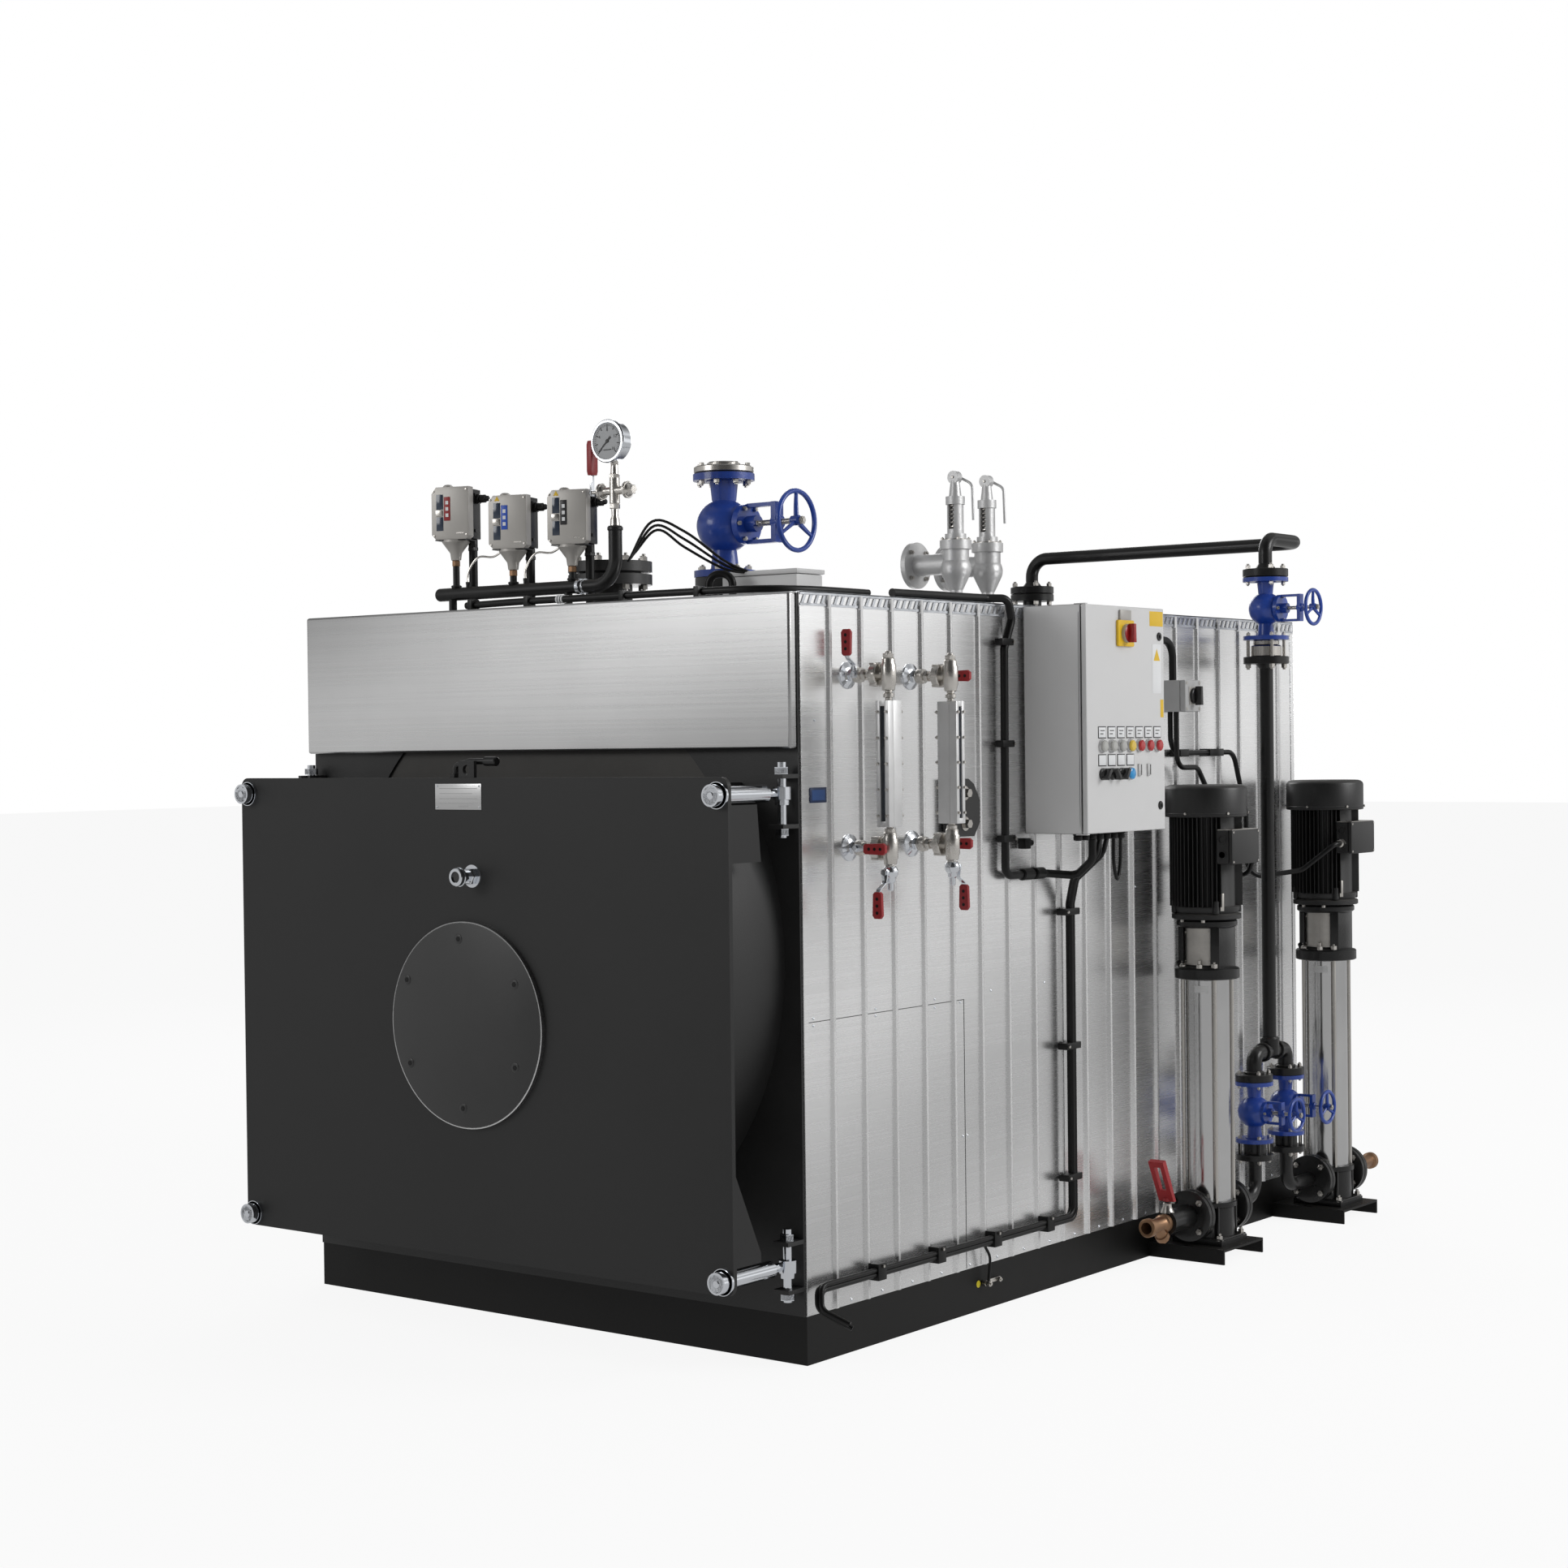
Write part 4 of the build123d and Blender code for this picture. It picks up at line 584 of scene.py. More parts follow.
tray = Shape()
slot_pitch = 31.0
tray_sheet = 2.5
tray_start, tray_end = back(4), back(3046)
for low, high in ((2162, 2169), (2193, 2203)):
    tray.block((half_width, tray_start, low), (half_width + tray_sheet, tray_end, high))
for near, far in ((half_width - 60, half_width - 50), (half_width - 12, half_width + tray_sheet)):
    tray.block((near, tray_start, roof_z), (far, tray_end, roof_z + tray_sheet))
for number in range(int((tray_end - tray_start) / slot_pitch)):
    y = tray_start + number * slot_pitch + 4
    tray.prism([(y, 2168), (y + 12, 2168), (y + 26, 2194), (y + 14, 2194)], "x", half_width, tray_sheet)
    near, far = half_width - 51, half_width - 11
    tray.prism([(near, y), (far, y + 14), (far, y + 26), (near, y + 12)], "z", roof_z, tray_sheet)
tray.done("slotted_tray", "tray_zinc", stands_for=["cable_tray"])

screws = Shape()
for depth, level in ((37, 985), (37, 964), (342, 986), (342, 966), (649, 989), (649, 964), (788, 968),
                     (60, 1835), (961, 990), (1273, 991), (1690, 1250), (796, 554), (820, 554), (1860, 1270)):
    rivet(screws, (half_width, back(depth + 8), level), radius=3)
for rib in range(18):
    y = rib_y(rib) + 77
    if y < back(1950) or back(2250) < y < back(2850):
        for side in (1, -1):
            rivet(screws, (side * half_width, y, 152), (side, 0, 0), 3.5)
for x in (-940, -480, 0, 480, 940):
    for level in (165, 2175, 1170):
        rivet(screws, (x, rear_y, level), "y")
screws.done("casing_screws", coat="chrome")

seams = Shape()
seam = 0.7
seams.block((half_width, back(4), 974), (half_width + seam, back(817), 976))
seams.block((half_width, back(815), 143), (half_width + seam, back(817), 976))
seams.block((-half_width - seam, tray_start, 1256), (-half_width, tray_end, 1258))
seams.block((-1001, rear_y, 1168.8), (1001, rear_y + seam, 1170.8))
for x in (-335, 335):
    seams.block((x - 1, rear_y, 143), (x + 1, rear_y + seam, 2195))
seams.done("sheet_seams", coat="panel_black")

trim = Shape()
for side in (-1, 1):
    for near, far in ((0, 22), (3028, 3050)):
        trim.block((side * half_width, back(near), 141), (side * 1006, back(far), 2160))
    trim.block((side * 984, rear_y, 141), (side * 1006, rear_y + 2, 2198))
trim.done("corner_trim", "ribbed_sheet", bevel=0.8)

plate_x = half_width + 3
slab("blank_plate", (half_width, back(40), 1600), (plate_x, back(118), 1644), 1, coat="plate_blue")
slab("blank_plate_field", (plate_x, back(48), 1607), (plate_x + 0.4, back(110), 1637), coat="plate_field_blue")

stud = Shape().rod((half_width, back(905), 84), "x", 30, 5, 12)
for out, length in ((2, 0), (17, 4)):
    stud.bolt((half_width + out, back(905), 84), "x", 10, length)
stud.block((half_width + 2, back(935), 78), (half_width + 4, back(1000), 90), 1)
stud.bolt((half_width + 5, back(985), 83), "x", 8, 4).done("earth_stud", coat="fitting_nickel")
Shape().lathe((half_width, back(880), 84), "x", [(0, 11), (0.8, 11)], 24).done("earth_mark", coat="earth_yellow")
# Strips on each rib crest in that diffuse paint: a painted highlight along the crests
crests = Shape()
crest = ((1010, -8), (1013, -5), (1014.2, 0), (1013, 5), (1010, 8))
for side in (-1, 1):
    for rib in range(19):
        crests.prism([(side * a, rib_y(rib) + b) for a, b in crest], "z", 142, 2054)
crests.done("rib_crest_highlights", coat="crest_highlight")
feet = Shape()
for x in (-955, 955):
    for depth in (60, 1525, 2990):
        feet.rod((x, back(depth), 12), "z", 5, 20, 20)
        feet.bolt((x, back(depth), 17), "z", 12, 8)
feet.done("anchor_bolts", coat="chrome")

# Front door: corner nuts, burner plate screws, name plate left blank, sight glass, handle, seal rope and pin nuts
door_front = back(-325)
burner_front = back(-340)
burner_z = 945
corner = Shape()
for x in (-965, 965):
    for level in (1630, 290):
        corner.stack("y", (-8, 40, [(0, 36), (1.5, 38), (8, 38)]), (-34, 40, [(0, 26), (4, 31), (23, 31), (26, 29)]),
                     (-36, 24, [(0, 9), (1.5, 11), (2, 11)]), at=(x, door_front, level))
corner.done("corner_nuts", "chrome", "door")

screws = Shape()
sockets = Shape()
for x, z in ((-23, 1201), (203, 1076), (202, 832), (-12, 697), (-233, 818), (-242, 1070)):
    screws.lathe((x, burner_front - 2.5, z), "y", [(0, 12), (1.2, 15), (2.5, 16)], 28)
    sockets.nut((x, burner_front - 3.1, z), "y", 0.8, 8)
screws.done("burner_screws", None, "door", coat="plate_black")
sockets.done("burner_screw_sockets", None, "door", coat="conduit_black")
rim = Shape().lathe((0, burner_front, burner_z), "y", [(0, 307.6), (0.8, 308.6), (14.6, 308.6), (15, 307)], 96)
rim.done("burner_plate_rim", None, "door", coat="hood_steel")
face = Shape().lathe((0, burner_front - 0.6, burner_z), "y", [(0, 303), (1, 305.5), (2, 305.5)], 96)
face.done("burner_plate_face", "plate_black", "door")

label_front = door_front - 1.6
slab("blank_name_plate", (-126, label_front, 1585), (65, door_front, 1662), 0.6, body="door", coat="hood_steel")
pins = Shape()
for x in (-118, 57):
    for z in (1592, 1655):
        rivet(pins, (x, label_front, z), forward, 2.2)
pins.done("name_plate_pins", None, "door", coat="chrome")
lines = Shape()
for row in range(4):
    z = 1648 - row * 15
    lines.block((-108, door_front - 2.0, z - 1), (48 - (row % 2) * 20, label_front, z + 1))
lines.block((-30, door_front - 2.0, 1592), (10, label_front, 1597))
lines.done("name_plate_lines", None, "door", coat="box_grey")

sight = (23, door_front, 1388)
eye = Shape(*sight).lathe((0, -3, 0), "y", [(0, 34), (3, 35)], 32).nut((0, -22, 0), "y", 19, 26)
eye.rod((0, -55, 0), "y", 34, 15, 28).ring((0, -72, 0), "y", 18, 27, 17, 32, 2).ring((0, -58, 0), "y", 6, 29, 16, 32, 2)
eye.done("sight_glass_body", "chrome", "door", ["sight_glass"])
lens = Shape(*sight).lathe((0, -67, 0), "y", [(0, 0), (0, 17), (4, 17)], 32)
lens.done("sight_glass_lens", None, "door", coat="gauge_glass")

bar = rounded([(-70, 0, 1690), (-70, 0, 1716), (-10, 0, 1728), (60, 2, 1728)], 40)
handle = Shape(0, door_front + 30).sweep(bar, 9, 14).rod((50, 2, 1728), "x", 50, 14, 20, 3)
handle.nut((-70, 0, 1678), "z", 14, 18).done("door_handle", None, "door", coat="cast_black")
loop = [(a, back(-309), 1150 + max(-790, min(440, b))) for a, b in circle(840, 120)]
Shape().sweep(loop, 9, 10, closed=True).done("door_seal_rope", "lining_board", "door")

for side, name, body, clear in ((1, "right", "boiler", 0), (-1, "left", "door", 3)):
    nuts = Shape()
    for low, top in ((1530, 1672), (214, 350)):
        for z in (top + 12 + clear, low - 20 - clear):
            nuts.nut((side * 975, back(-50), z), "z", 20, 22)
        nuts.rod((side * 975, back(-50), top + 30), "z", 16, 9, 16)
    nuts.done("pin_nuts_" + name, None, body, coat="chrome")


# Handwheels and valve fittings
def wheel(body, x, y, z, rim, wire, hub):
    """Cast wheel on +X with three curved spokes and a hub."""
    shape = Shape().sweep([(x, y + a, z + b) for a, b in circle(rim, 64)], wire, 14, closed=True)
    for degrees in (90, 210, 330):
        line = [(x - wire * 0.2 * sin(t / 6 * pi), *polar(rim * t / 6, degrees, y, z)) for t in range(1, 7)]
        shape.sweep(line, lambda t: wire * (1.05 - 0.35 * t), 12, flat=0.8)
    shape.lathe((x - hub * 1.1, y, z), "x", [(0, hub * 0.8), (2, hub), (hub * 1.8, hub), (hub * 2.2, hub * 0.7)], 28)
    shape.done(body + "_cast", "valve_blue", body, [body.replace("wheel", "handwheel")])


def spindle(name, body, x0, x1, y, z, radius, hub):
    """Bright spindle with a nut outside the wheel."""
    shape = Shape().rod((x0, y, z), "x", x1 - x0, radius, 20)
    ridge = x0 + 4
    while ridge < x1 - hub * 3.2:
        shape.lathe((ridge, y, z), "x", [(0, radius), (0.8, radius * 1.08), (1.6, radius)], 16)
        ridge += 3
    shape.nut((x1 - hub * 0.7, y, z), "x", hub * 0.55, hub * 0.85).done(name, None, body, coat="stainless")


def valve_trim(tag, y, x, low, top, flange, neck, bonnet_end, boss, yoke, count):
    """Bolts, gland and cast ribs of a blue globe valve."""
    half = (top - low) / 2
    plate = half * 0.13
    bonnet = (bonnet_end - x) * 0.36 + plate
    gland = bonnet + (bonnet_end - x - bonnet) * 0.3
    hex_size = flange * 0.1
    nuts = Shape(x, y, low + half)
    for side in (1, -1):
        nuts.bolts((0, 0, side * (half - plate)), "z", flange * 0.81, count, hex_size, hex_size * 0.5, flip=side > 0)
    nuts.bolts((bonnet, 0, 0), "x", yoke * 0.86, 6 if neck > 40 else 4, hex_size * 0.8, 2, 0)
    for ear in (-boss * 0.95, boss * 0.95):
        nuts.rod((gland - 6, ear, 0), "x", boss * 1.7, boss * 0.2, 12)
        nuts.nut((gland + boss * 0.5, ear, 0), "x", boss * 0.35, boss * 0.38)
    nuts.done(tag + "_nuts", coat="stainless")
    bar = [(boss * a, boss * b) for a, b in ((-1.35, -0.3), (1.35, -0.3), (1.35, 0.3), (-1.35, 0.3))]
    cast = Shape(x, y, low + half).prism(bar, "x", gland + 1, boss * 0.35, 1)
    cast.lathe((bonnet_end - x - boss * 1.1, 0, 0), "x",
               [(boss * a, boss * b) for a, b in ((0, 0.95), (0.3, 1.1), (1.5, 1.0), (1.7, 0.7))], 28)
    for level in (half - plate - 3, plate - half):
        cast.lathe((0, 0, level), "z", [(0, neck * 1.25), (3, neck * 1.25)], 40)
    cast.done(tag + "_casting", "valve_blue", bevel=1.0)


pump_valve = ((1324, 452.5, 55, 6.5, 12), (1225, 1346, 6), (pump_x, 345, 560, 66, 27, 1272, 13, 40, 4))
for body, stem, tag, y, (x, z, rim, wire, hub), (x0, x1, radius), trim in (
        ("steam_wheel", "steam_spindle", "steam_valve", steam_y, (303, 2499, 97, 8.5, 17), (140, 335, 9),
         (0, 2327, 2671, 103, 48, 232, 22, 67, 8)),
        ("feed_wheel", "feed_spindle", "feed_valve", pump_middle, (1345, 2229.5, 60, 6.5, 12), (1250, 1367, 6),
         (pump_x, 2119, 2340, 80, 30, 1300, 14, 48, 4)),
        ("front_pump_wheel", "front_pump_wheel_spindle", "pump_valve_0", pump_middle - branch, *pump_valve),
        ("rear_pump_wheel", "rear_pump_wheel_spindle", "pump_valve_1", pump_middle + branch, *pump_valve)):
    wheel(body, x, y, z, rim, wire, hub)
    spindle(stem, body, x0, x1, y, z, radius, hub)
    valve_trim(tag, y, *trim)

flanges = Shape()
for x, y, z, reach, count, radius, stud, flip in (
        (0, steam_y, 2695, 83, 8, 9, 0, False), (0, steam_y, 2285, 83, 8, 10, 5, True),
        (0, handhole_y, 2350, 112, 8, 12, 8, False), (0, handhole_y, 2276, 112, 8, 12, 8, True),
        (0, feed_y, 2373, 68, 4, 11, 6, False), (0, feed_y, 2316, 68, 4, 11, 6, True),
        (pump_x, pump_middle, 2371, 64, 4, 10, 6, False)):
    flanges.bolts((x, y, z), "z", reach, count, radius, stud, flip=flip)
flanges.bolts((0, back(3170), 1560), "y", 176, 12, 9, 4)
for y in safety_rows:
    flanges.bolts((0, y, 2243), "z", 44, 4, 8, 5)
    flanges.bolts((-173, y, 2440), "x", 68, 4, 9, 4)
    flanges.bolts((0, y, 2526), "z", 50, 4, 7, 3)
for y in (pump_middle - branch, pump_middle + branch):
    for z, flip in ((586, False), (284, True)):
        flanges.bolts((pump_x, y, z), "z", 53, 4, 8, 4, flip=flip)
flanges.done("flange_nuts", coat="stainless")

neck = Shape().ring((0, steam_y, 2674), "z", 22, 100, 40, 56, 3).ring((0, steam_y, 2694), "z", 17, 56, 40, 48, 4)
neck.done("steam_counter_flange", "stainless", stands_for=["steam_flange"])
gasket = Shape()
for x, y, z, high, radius, bore in ((0, steam_y, 2671, 3, 99, 44), (0, steam_y, 2324.5, 3, 97, 44),
                                    (pump_x, pump_middle, 2340, 3, 70, 30), (0, handhole_y, 2309, 8, 98, 60)):
    gasket.ring((x, y, z), "z", high, radius, bore, 40 if x else 48, 0.2)
gasket.done("gaskets", coat="conduit_black")

# Feed line, riser and elbows as smooth pipe
roof_run = 2480
line = Shape()
line.sweep(rounded([(0, feed_y, 2340), (0, feed_y, roof_run), (pump_x, feed_y, roof_run),
                    (pump_x, pump_middle, roof_run), (pump_x, pump_middle, 2372)], 90, 12), 24, 28)
line.rod((0, feed_y, roof_z), "z", 118, 36, 32)
for z in (2316, 2345):
    line.rod((0, feed_y, z), "z", 27, 84, 48, 2)
line.lathe((0, feed_y, 2372), "z", [(0, 40), (12, 30), (20, 24.5)], 36)
line.rod((pump_x, pump_middle, 2343), "z", 28, 80, 48, 2)
line.lathe((pump_x, pump_middle, 2371), "z", [(0, 38), (12, 29), (20, 24.5)], 36)
line.done("feed_line", "pipe_black", stands_for=["feed_pipe"])

rise = Shape(pump_x, pump_middle).rod((0, 0, 655), "z", 1384, 24.3, 32).rod((0, 0, 2034), "z", 26, 80, 48, 2)
rise.stack("z", (2018, 36, [(0, 25), (10, 34), (16, 38)]), (640, 36, [(0, 30), (4, 34), (60, 34), (66, 30)]))
rise.sweep(rounded([(0, -branch, 584), (0, -branch, 655), (0, branch, 655), (0, branch, 584)], 68, 12), 27, 28)
for side in (-1, 1):
    rise.rod((0, side * branch, 560), "z", 26, 66, 44, 2).ring((0, side * branch, 584), "z", 12, 36, 26, 32, 3)
    rise.lathe((0, side * 52, 655), "y", [(-9, 31), (-6, 34), (6, 34), (9, 31)], 32)
rise.done("riser_line", "pipe_black", stands_for=["riser"])
check = Shape(pump_x, pump_middle).stack("z", (2060, 44, [(0, 50), (3, 54), (36, 54), (40, 50)]),
                                         (2100, 44, [(0, 40), (3, 46), (16, 46), (19, 42)]))
check.done("check_valve_body", coat="stainless")
studs = Shape(pump_x, pump_middle)
for degrees in quarters:
    spot = polar(66, degrees)
    studs.rod((*spot, 2014), "z", 126, 6, 16).bolt((*spot, 2020), "z", 11)
    for y in (-branch, branch):
        spot = polar(53, degrees, 0, y)
        studs.rod((*spot, 276), "z", 84, 6, 16).bolt((*spot, 359), "z", 8)
studs.done("check_valve_studs", coat="stainless")

# Pressure switches, manifold and gauge
for number, label_coat in enumerate(("label_red", "label_blue", "label_dark")):
    x = number * 251 - 467
    low = 2392 if number else 2435
    spot = turned((x, row_y, low), 18)
    tag = "switch_" + str(number)
    cover = Shape().prism([(-66, 16), (-66, 146), (-50, 168), (66, 168), (66, 10), (56, 0), (-52, 0)], "y", -40, 35, 3)
    cover.lathe((-14, -22, 167), "z", [(0, 17), (4, 16), (8, 11), (10, 0)], 24).move(spot)
    cover.done(tag + "_cover", "switch_grey", stands_for=[] if number else ["pressure_switches"])
    rear = Shape().block((-62, -5, 3), (62, 56, 163), 4)
    for z in (24, 140):
        rear.block((60, 8, z), (66, 22, z + 10), 1)
    rear.nut((62, 28, 132), "x", 12, 17).rod((74, 28, 132), "x", 22, 13, 20, 3).rod((92, 28, 132), "x", 14, 9, 16, 3)
    rear.rod((44, 34, -26), "z", 30, 15, 20, 3).nut((44, 34, -34), "z", 12, 18).move(spot)
    rear.done(tag + "_housing", coat="cast_black")
    base = spot @ Vector((44, 34, -30))
    post = Shape().rod((base.x, base.y, 2203), "z", base.z - 2203, 14, 20)
    post.rod((base.x, base.y, 2203), "z", 8, 24, 24, 2).done(tag + "_post", coat="conduit_black")
    glass = Shape()
    for bottom, top in ((28, 72), (96, 144)):
        glass.block((-48, -41, bottom), (-24, -40, top), 0.4)
    glass.move(spot).done(tag + "_window", coat="window_blue")
    pointer = Shape().block((-50, -43, 74), (-26, -40, 94), 1.5)
    for a, b in ((-58, 154), (58, 158), (58, 14), (-56, 12)):
        pointer.lathe((a, -40, b), forward, [(0, 4), (1.5, 3.6), (2, 0)], 14)
    pointer.block((22, -40.7, 18), (48, -40, 22)).move(spot).done(tag + "_pointer", coat="stainless")
    Shape().block((-21, -41.4, 60), (1, -40, 136), 0.4).move(spot).done(tag + "_label", coat=label_coat)
    marks = Shape()
    for z in (72, 92, 112):
        marks.block((-15, -41.8, z), (-5, -41.4, z + 11))
    marks.move(spot).done(tag + "_label_marks", coat="dial_white")
    if number:
        note = Shape().prism([(-44, 150), (-26, 150), (-35, 165)], "y", -40.8, 0.8)
        note.move(spot).done(tag + "_triangle", coat="mark_yellow")
    skirt = Shape().lathe((x, row_y, low - 66), "z", [(0, 12), (2, 16), (24, 19), (50, 38), (58, 44), (66, 44)], 36)
    skirt.done(tag + "_skirt", "switch_grey")
    Shape().block((-56, -36, -3), (58, 20, 0.5), 1).move(spot).done(tag + "_band", coat="cast_black")
    Shape().nut((x, row_y, low - 84), "z", 18, 13).done(tag + "_nipple", coat="brass")
    stem = Shape().rod((x, row_y, 2270), "z", low - 84 - 2270, 11, 20).ring((x, row_y, 2282), "z", 8, 17, 10, 24, 2)
    stem.done(tag + "_stem", coat="pipe_black")
    if number < 2:
        start = Vector((x + 52, row_y, 2284))
        goal = turned((x + 251, row_y, 2392), 18) @ Vector((-44, 30, 4))
        loop = [start, start + Vector((0, 2, 46)), start + Vector((32, 14, 92)), goal + Vector((-42, -8, -22)), goal]
        Shape().sweep(smooth_line(loop), 3.2, 10).done(tag + "_capillary", coat="stainless")
        foot = Shape().rod((x + 52, row_y, 2276), "z", 18, 7, 16).nut((x + 52, row_y, 2290), "z", 9, 8)
        foot.done(tag + "_capillary_foot", coat="pipe_black")

gauge_x = 212
manifold_z = 2262
manifold = Shape(0, row_y)
manifold.sweep(rounded([(-540, 0, manifold_z), (gauge_x, 0, manifold_z), (gauge_x, 0, 2440)], 80, 12), 21, 28)
manifold.ball((-540, 0, manifold_z), 21, (0.6, 1, 1))
for x in (-484, 16):
    manifold.rod((x, 0, roof_z), "z", 52, 13, 20).ring((x, 0, roof_z), "z", 6, 30, 10, 28)
manifold.ring((gauge_x, 0, 2425), "z", 14, 24, 20, 28, 3)
manifold.done("manifold_pipe", "pipe_black", stands_for=["switch_manifold"])
tee = Shape(0, row_y, manifold_z).ring((60, 0, 0), "x", 16, 25, 20, 32, 2).nut((68, 22, 0), forward, 14, 12)
tee.rod((68, 36, 0), forward, 10, 7, 16).ring((84, 0, 0), "x", 8, 24, 20, 32, 2).done("manifold_clip", coat="chrome")
tape = Shape()
for x in (60, 70, 80):
    tape.ring((x, back(24), 2219), "x", 6, 13.5, 11, 24, 0.5)
tape.done("edge_conduit_tape", coat="dial_white")
edge = Shape()
edge.sweep(smooth_line([(-330, back(26), 2216)] + [(x, back(depth), 2219) for x, depth in (
    (-100, 24), (200, 24), (560, 26), (800, 60), (890, 200), (900, 480))], 6), 11, 14)
for x in (-300, -60, 330, 620):
    edge.block((x - 9, back(6), roof_z), (x + 9, back(44), 2234), 3)
edge.done("edge_conduit", coat="conduit_black")

sensor = Shape()
for shift in (0, 12, 24):
    sensor.sweep(smooth_line([(236, back(150 + shift), 2330 + shift), (300, back(190 + shift), 2452 - shift),
                              (380, back(250), 2420 - shift * 2), (470, back(330), 2330 - shift),
                              (520, back(400 + shift), 2294)]), 4.2, 10)
sensor.done("sensor_cables", coat="conduit_black")
ends = ((430, back(300)), (500, back(330)))
elbow = Shape()
elbow.sweep(rounded([(*ends[0], 2206), (*ends[0], 2290), (*ends[1], 2290), (*ends[1], 2206)], 34, 10), 12, 16)
for end in ends:
    elbow.nut((*end, 2203), "z", 16, 19)
elbow.done("roof_gland_elbow", coat="conduit_black")

cock_z = 2547
dial_z = 2696
cock = Shape(gauge_x, row_y).lathe((0, 0, 2438), "z", [(0, 13), (3, 15), (22, 14), (32, 10), (60, 11)], 28)
cock.nut((0, 0, 2492), "z", 16, 17).rod((0, 0, 2506), "z", 84, 16, 28, 3).rod((-62, 0, cock_z), "x", 124, 13, 28, 3)
for x in (-52, 52):
    cock.ball((x, 0, cock_z), 23, (0.75, 1, 1)).ring((x - 5, 0, cock_z), "x", 10, 26, 18, 32, 2)
cock.nut((64, 0, cock_z), "x", 14, 15).nut((0, 0, 2582), "z", 16, 17)
cock.lathe((0, 0, 2597), "z", [(0, 12), (28, 10.5), (34, 9)], 28).nut((0, 0, 2626), "z", 14, 13)
cock.rod((-90, 0, cock_z), "x", 36, 6, 16).done("gauge_cock", "fitting_nickel", stands_for=["pressure_gauge"])
case = Shape(gauge_x, row_y).lathe((0, -34, dial_z), "y", [(4, 0), (4, 57), (0, 57), (0, 63), (3, 66), (10, 66),
                                                           (13, 61), (44, 60), (52, 54), (54, 0)], 64)
case.rod((0, 0, 2624), "z", 14, 8, 20).done("gauge_case", "chrome")
dial = Shape(gauge_x, row_y).lathe((0, -31, dial_z), "y", [(0, 0), (0, 57), (3, 57)], 64)
dial.done("gauge_dial", coat="dial_face")
marks = Shape()
middle = Vector((gauge_x, row_y - 31.4, dial_z))
for tick in range(41):
    angle = radians(225 - tick * 270 / 40)
    long, wide = (7, 0.7) if tick % 5 else (13, 1.6)
    way, across = Vector((cos(angle), 0, sin(angle))), Vector((-sin(angle), 0, cos(angle)))
    ends = ((52 - long, -wide), (52, -wide), (52, wide), (52 - long, wide))
    marks.sheet([middle + way * r + across * s for r, s in ends])
middle.y -= 1
way, across = Vector((-0.74, 0, -0.67)), Vector((-0.67, 0, 0.74))
marks.sheet([middle + way * r + across * s for r, s in ((-18, 3.6), (-18, -3.6), (46, -1.2), (46, 1.2))])
marks.lathe((gauge_x, row_y - 34, dial_z), "y", [(0, 0), (0, 5), (3, 6)], 24)
marks.block((196, row_y - 31.4, 2668), (228, row_y - 31.2, 2671)).done("gauge_marks", coat="mark_black")
for tick in range(5):
    text = bpy.data.curves.new("gauge_number_" + str(tick), "FONT")
    text.body = str(tick * 4)
    text.size = 0.014
    text.align_x = text.align_y = "CENTER"
    number = bpy.data.objects.new("gauge_number_" + str(tick), text)
    scene.collection.objects.link(number)
    a, b = polar(34, 225 - tick * 270 / 4, gauge_x, dial_z)
    number.matrix_world = turned(Vector((a, row_y - 31.6, b)) * mm, 90, "X")
    text.materials.append(materials["mark_black"])
    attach(number, "boiler")
outline = [(-12, 2600), (-16, 2612), (-16, 2694), (-12, 2706), (12, 2706), (16, 2694), (16, 2612), (12, 2600)]
grip = Shape(112, row_y).prism(outline, "x", 0, 20, 4)
grip.done("gauge_lever_grip", "lever_red", "gauge_lever", ["gauge_cock_lever"])
arm = Shape(112, row_y).block((6, -9, 2536), (10, 9, 2612), 1).nut((1, 0, cock_z), "x", 5, 10)
arm.done("gauge_lever_arm", None, "gauge_lever", coat="chrome")


# Level gauges with their cocks, columns and red levers
def cock_handle(name, at, stem, way):
    """Silver cranked arm with a red sleeve."""
    stem, way = Vector(stem), Vector(way)
    spot = Matrix.Translation(at) @ Matrix((way, stem.cross(way), stem)).transposed().to_4x4()
    tag, body, node = "cock_" + name, "lever_" + name, "gauge_" + name + "_lever"
    arm = Shape().prism([(-9, -9), (0, -12), (24, -8), (24, 8), (0, 12), (-9, 9)], "z", 0, 5, 1)
    arm.nut((0, 0, 5), "z", 6, 10)
    line = [Vector(p) for p in ((22, 0, 2.5), (30, 0, 4), (48, 0, 32), (58, 0, 36.5), (122, 0, 36.5))]
    for a, b in zip(line, line[1:]):
        along = (b - a).to_track_quat("X", "Z").to_matrix().to_4x4()
        arm.block((-1, -7.5, -2), ((b - a).length + 1, 7.5, 2), 0.8, Matrix.Translation(a) @ along)
    arm.move(spot).done(tag + "_arm", None, body, coat="chrome")
    outline = [(54, -9), (60, -15), (122, -17), (131, -10), (131, 10), (122, 17), (60, 15), (54, 9)]
    Shape().prism(outline, "z", 30.5, 12, 3).move(spot).done(tag + "_sleeve", "lever_red", body, [node])
    holes = Shape()
    for along in (74, 94, 114):
        for z in (42.2, 30.2):
            holes.rod((along, 0, z), "z", 0.6, 5, 16, 0.1)
    holes.move(spot).done(tag + "_holes", None, body, coat="conduit_black")


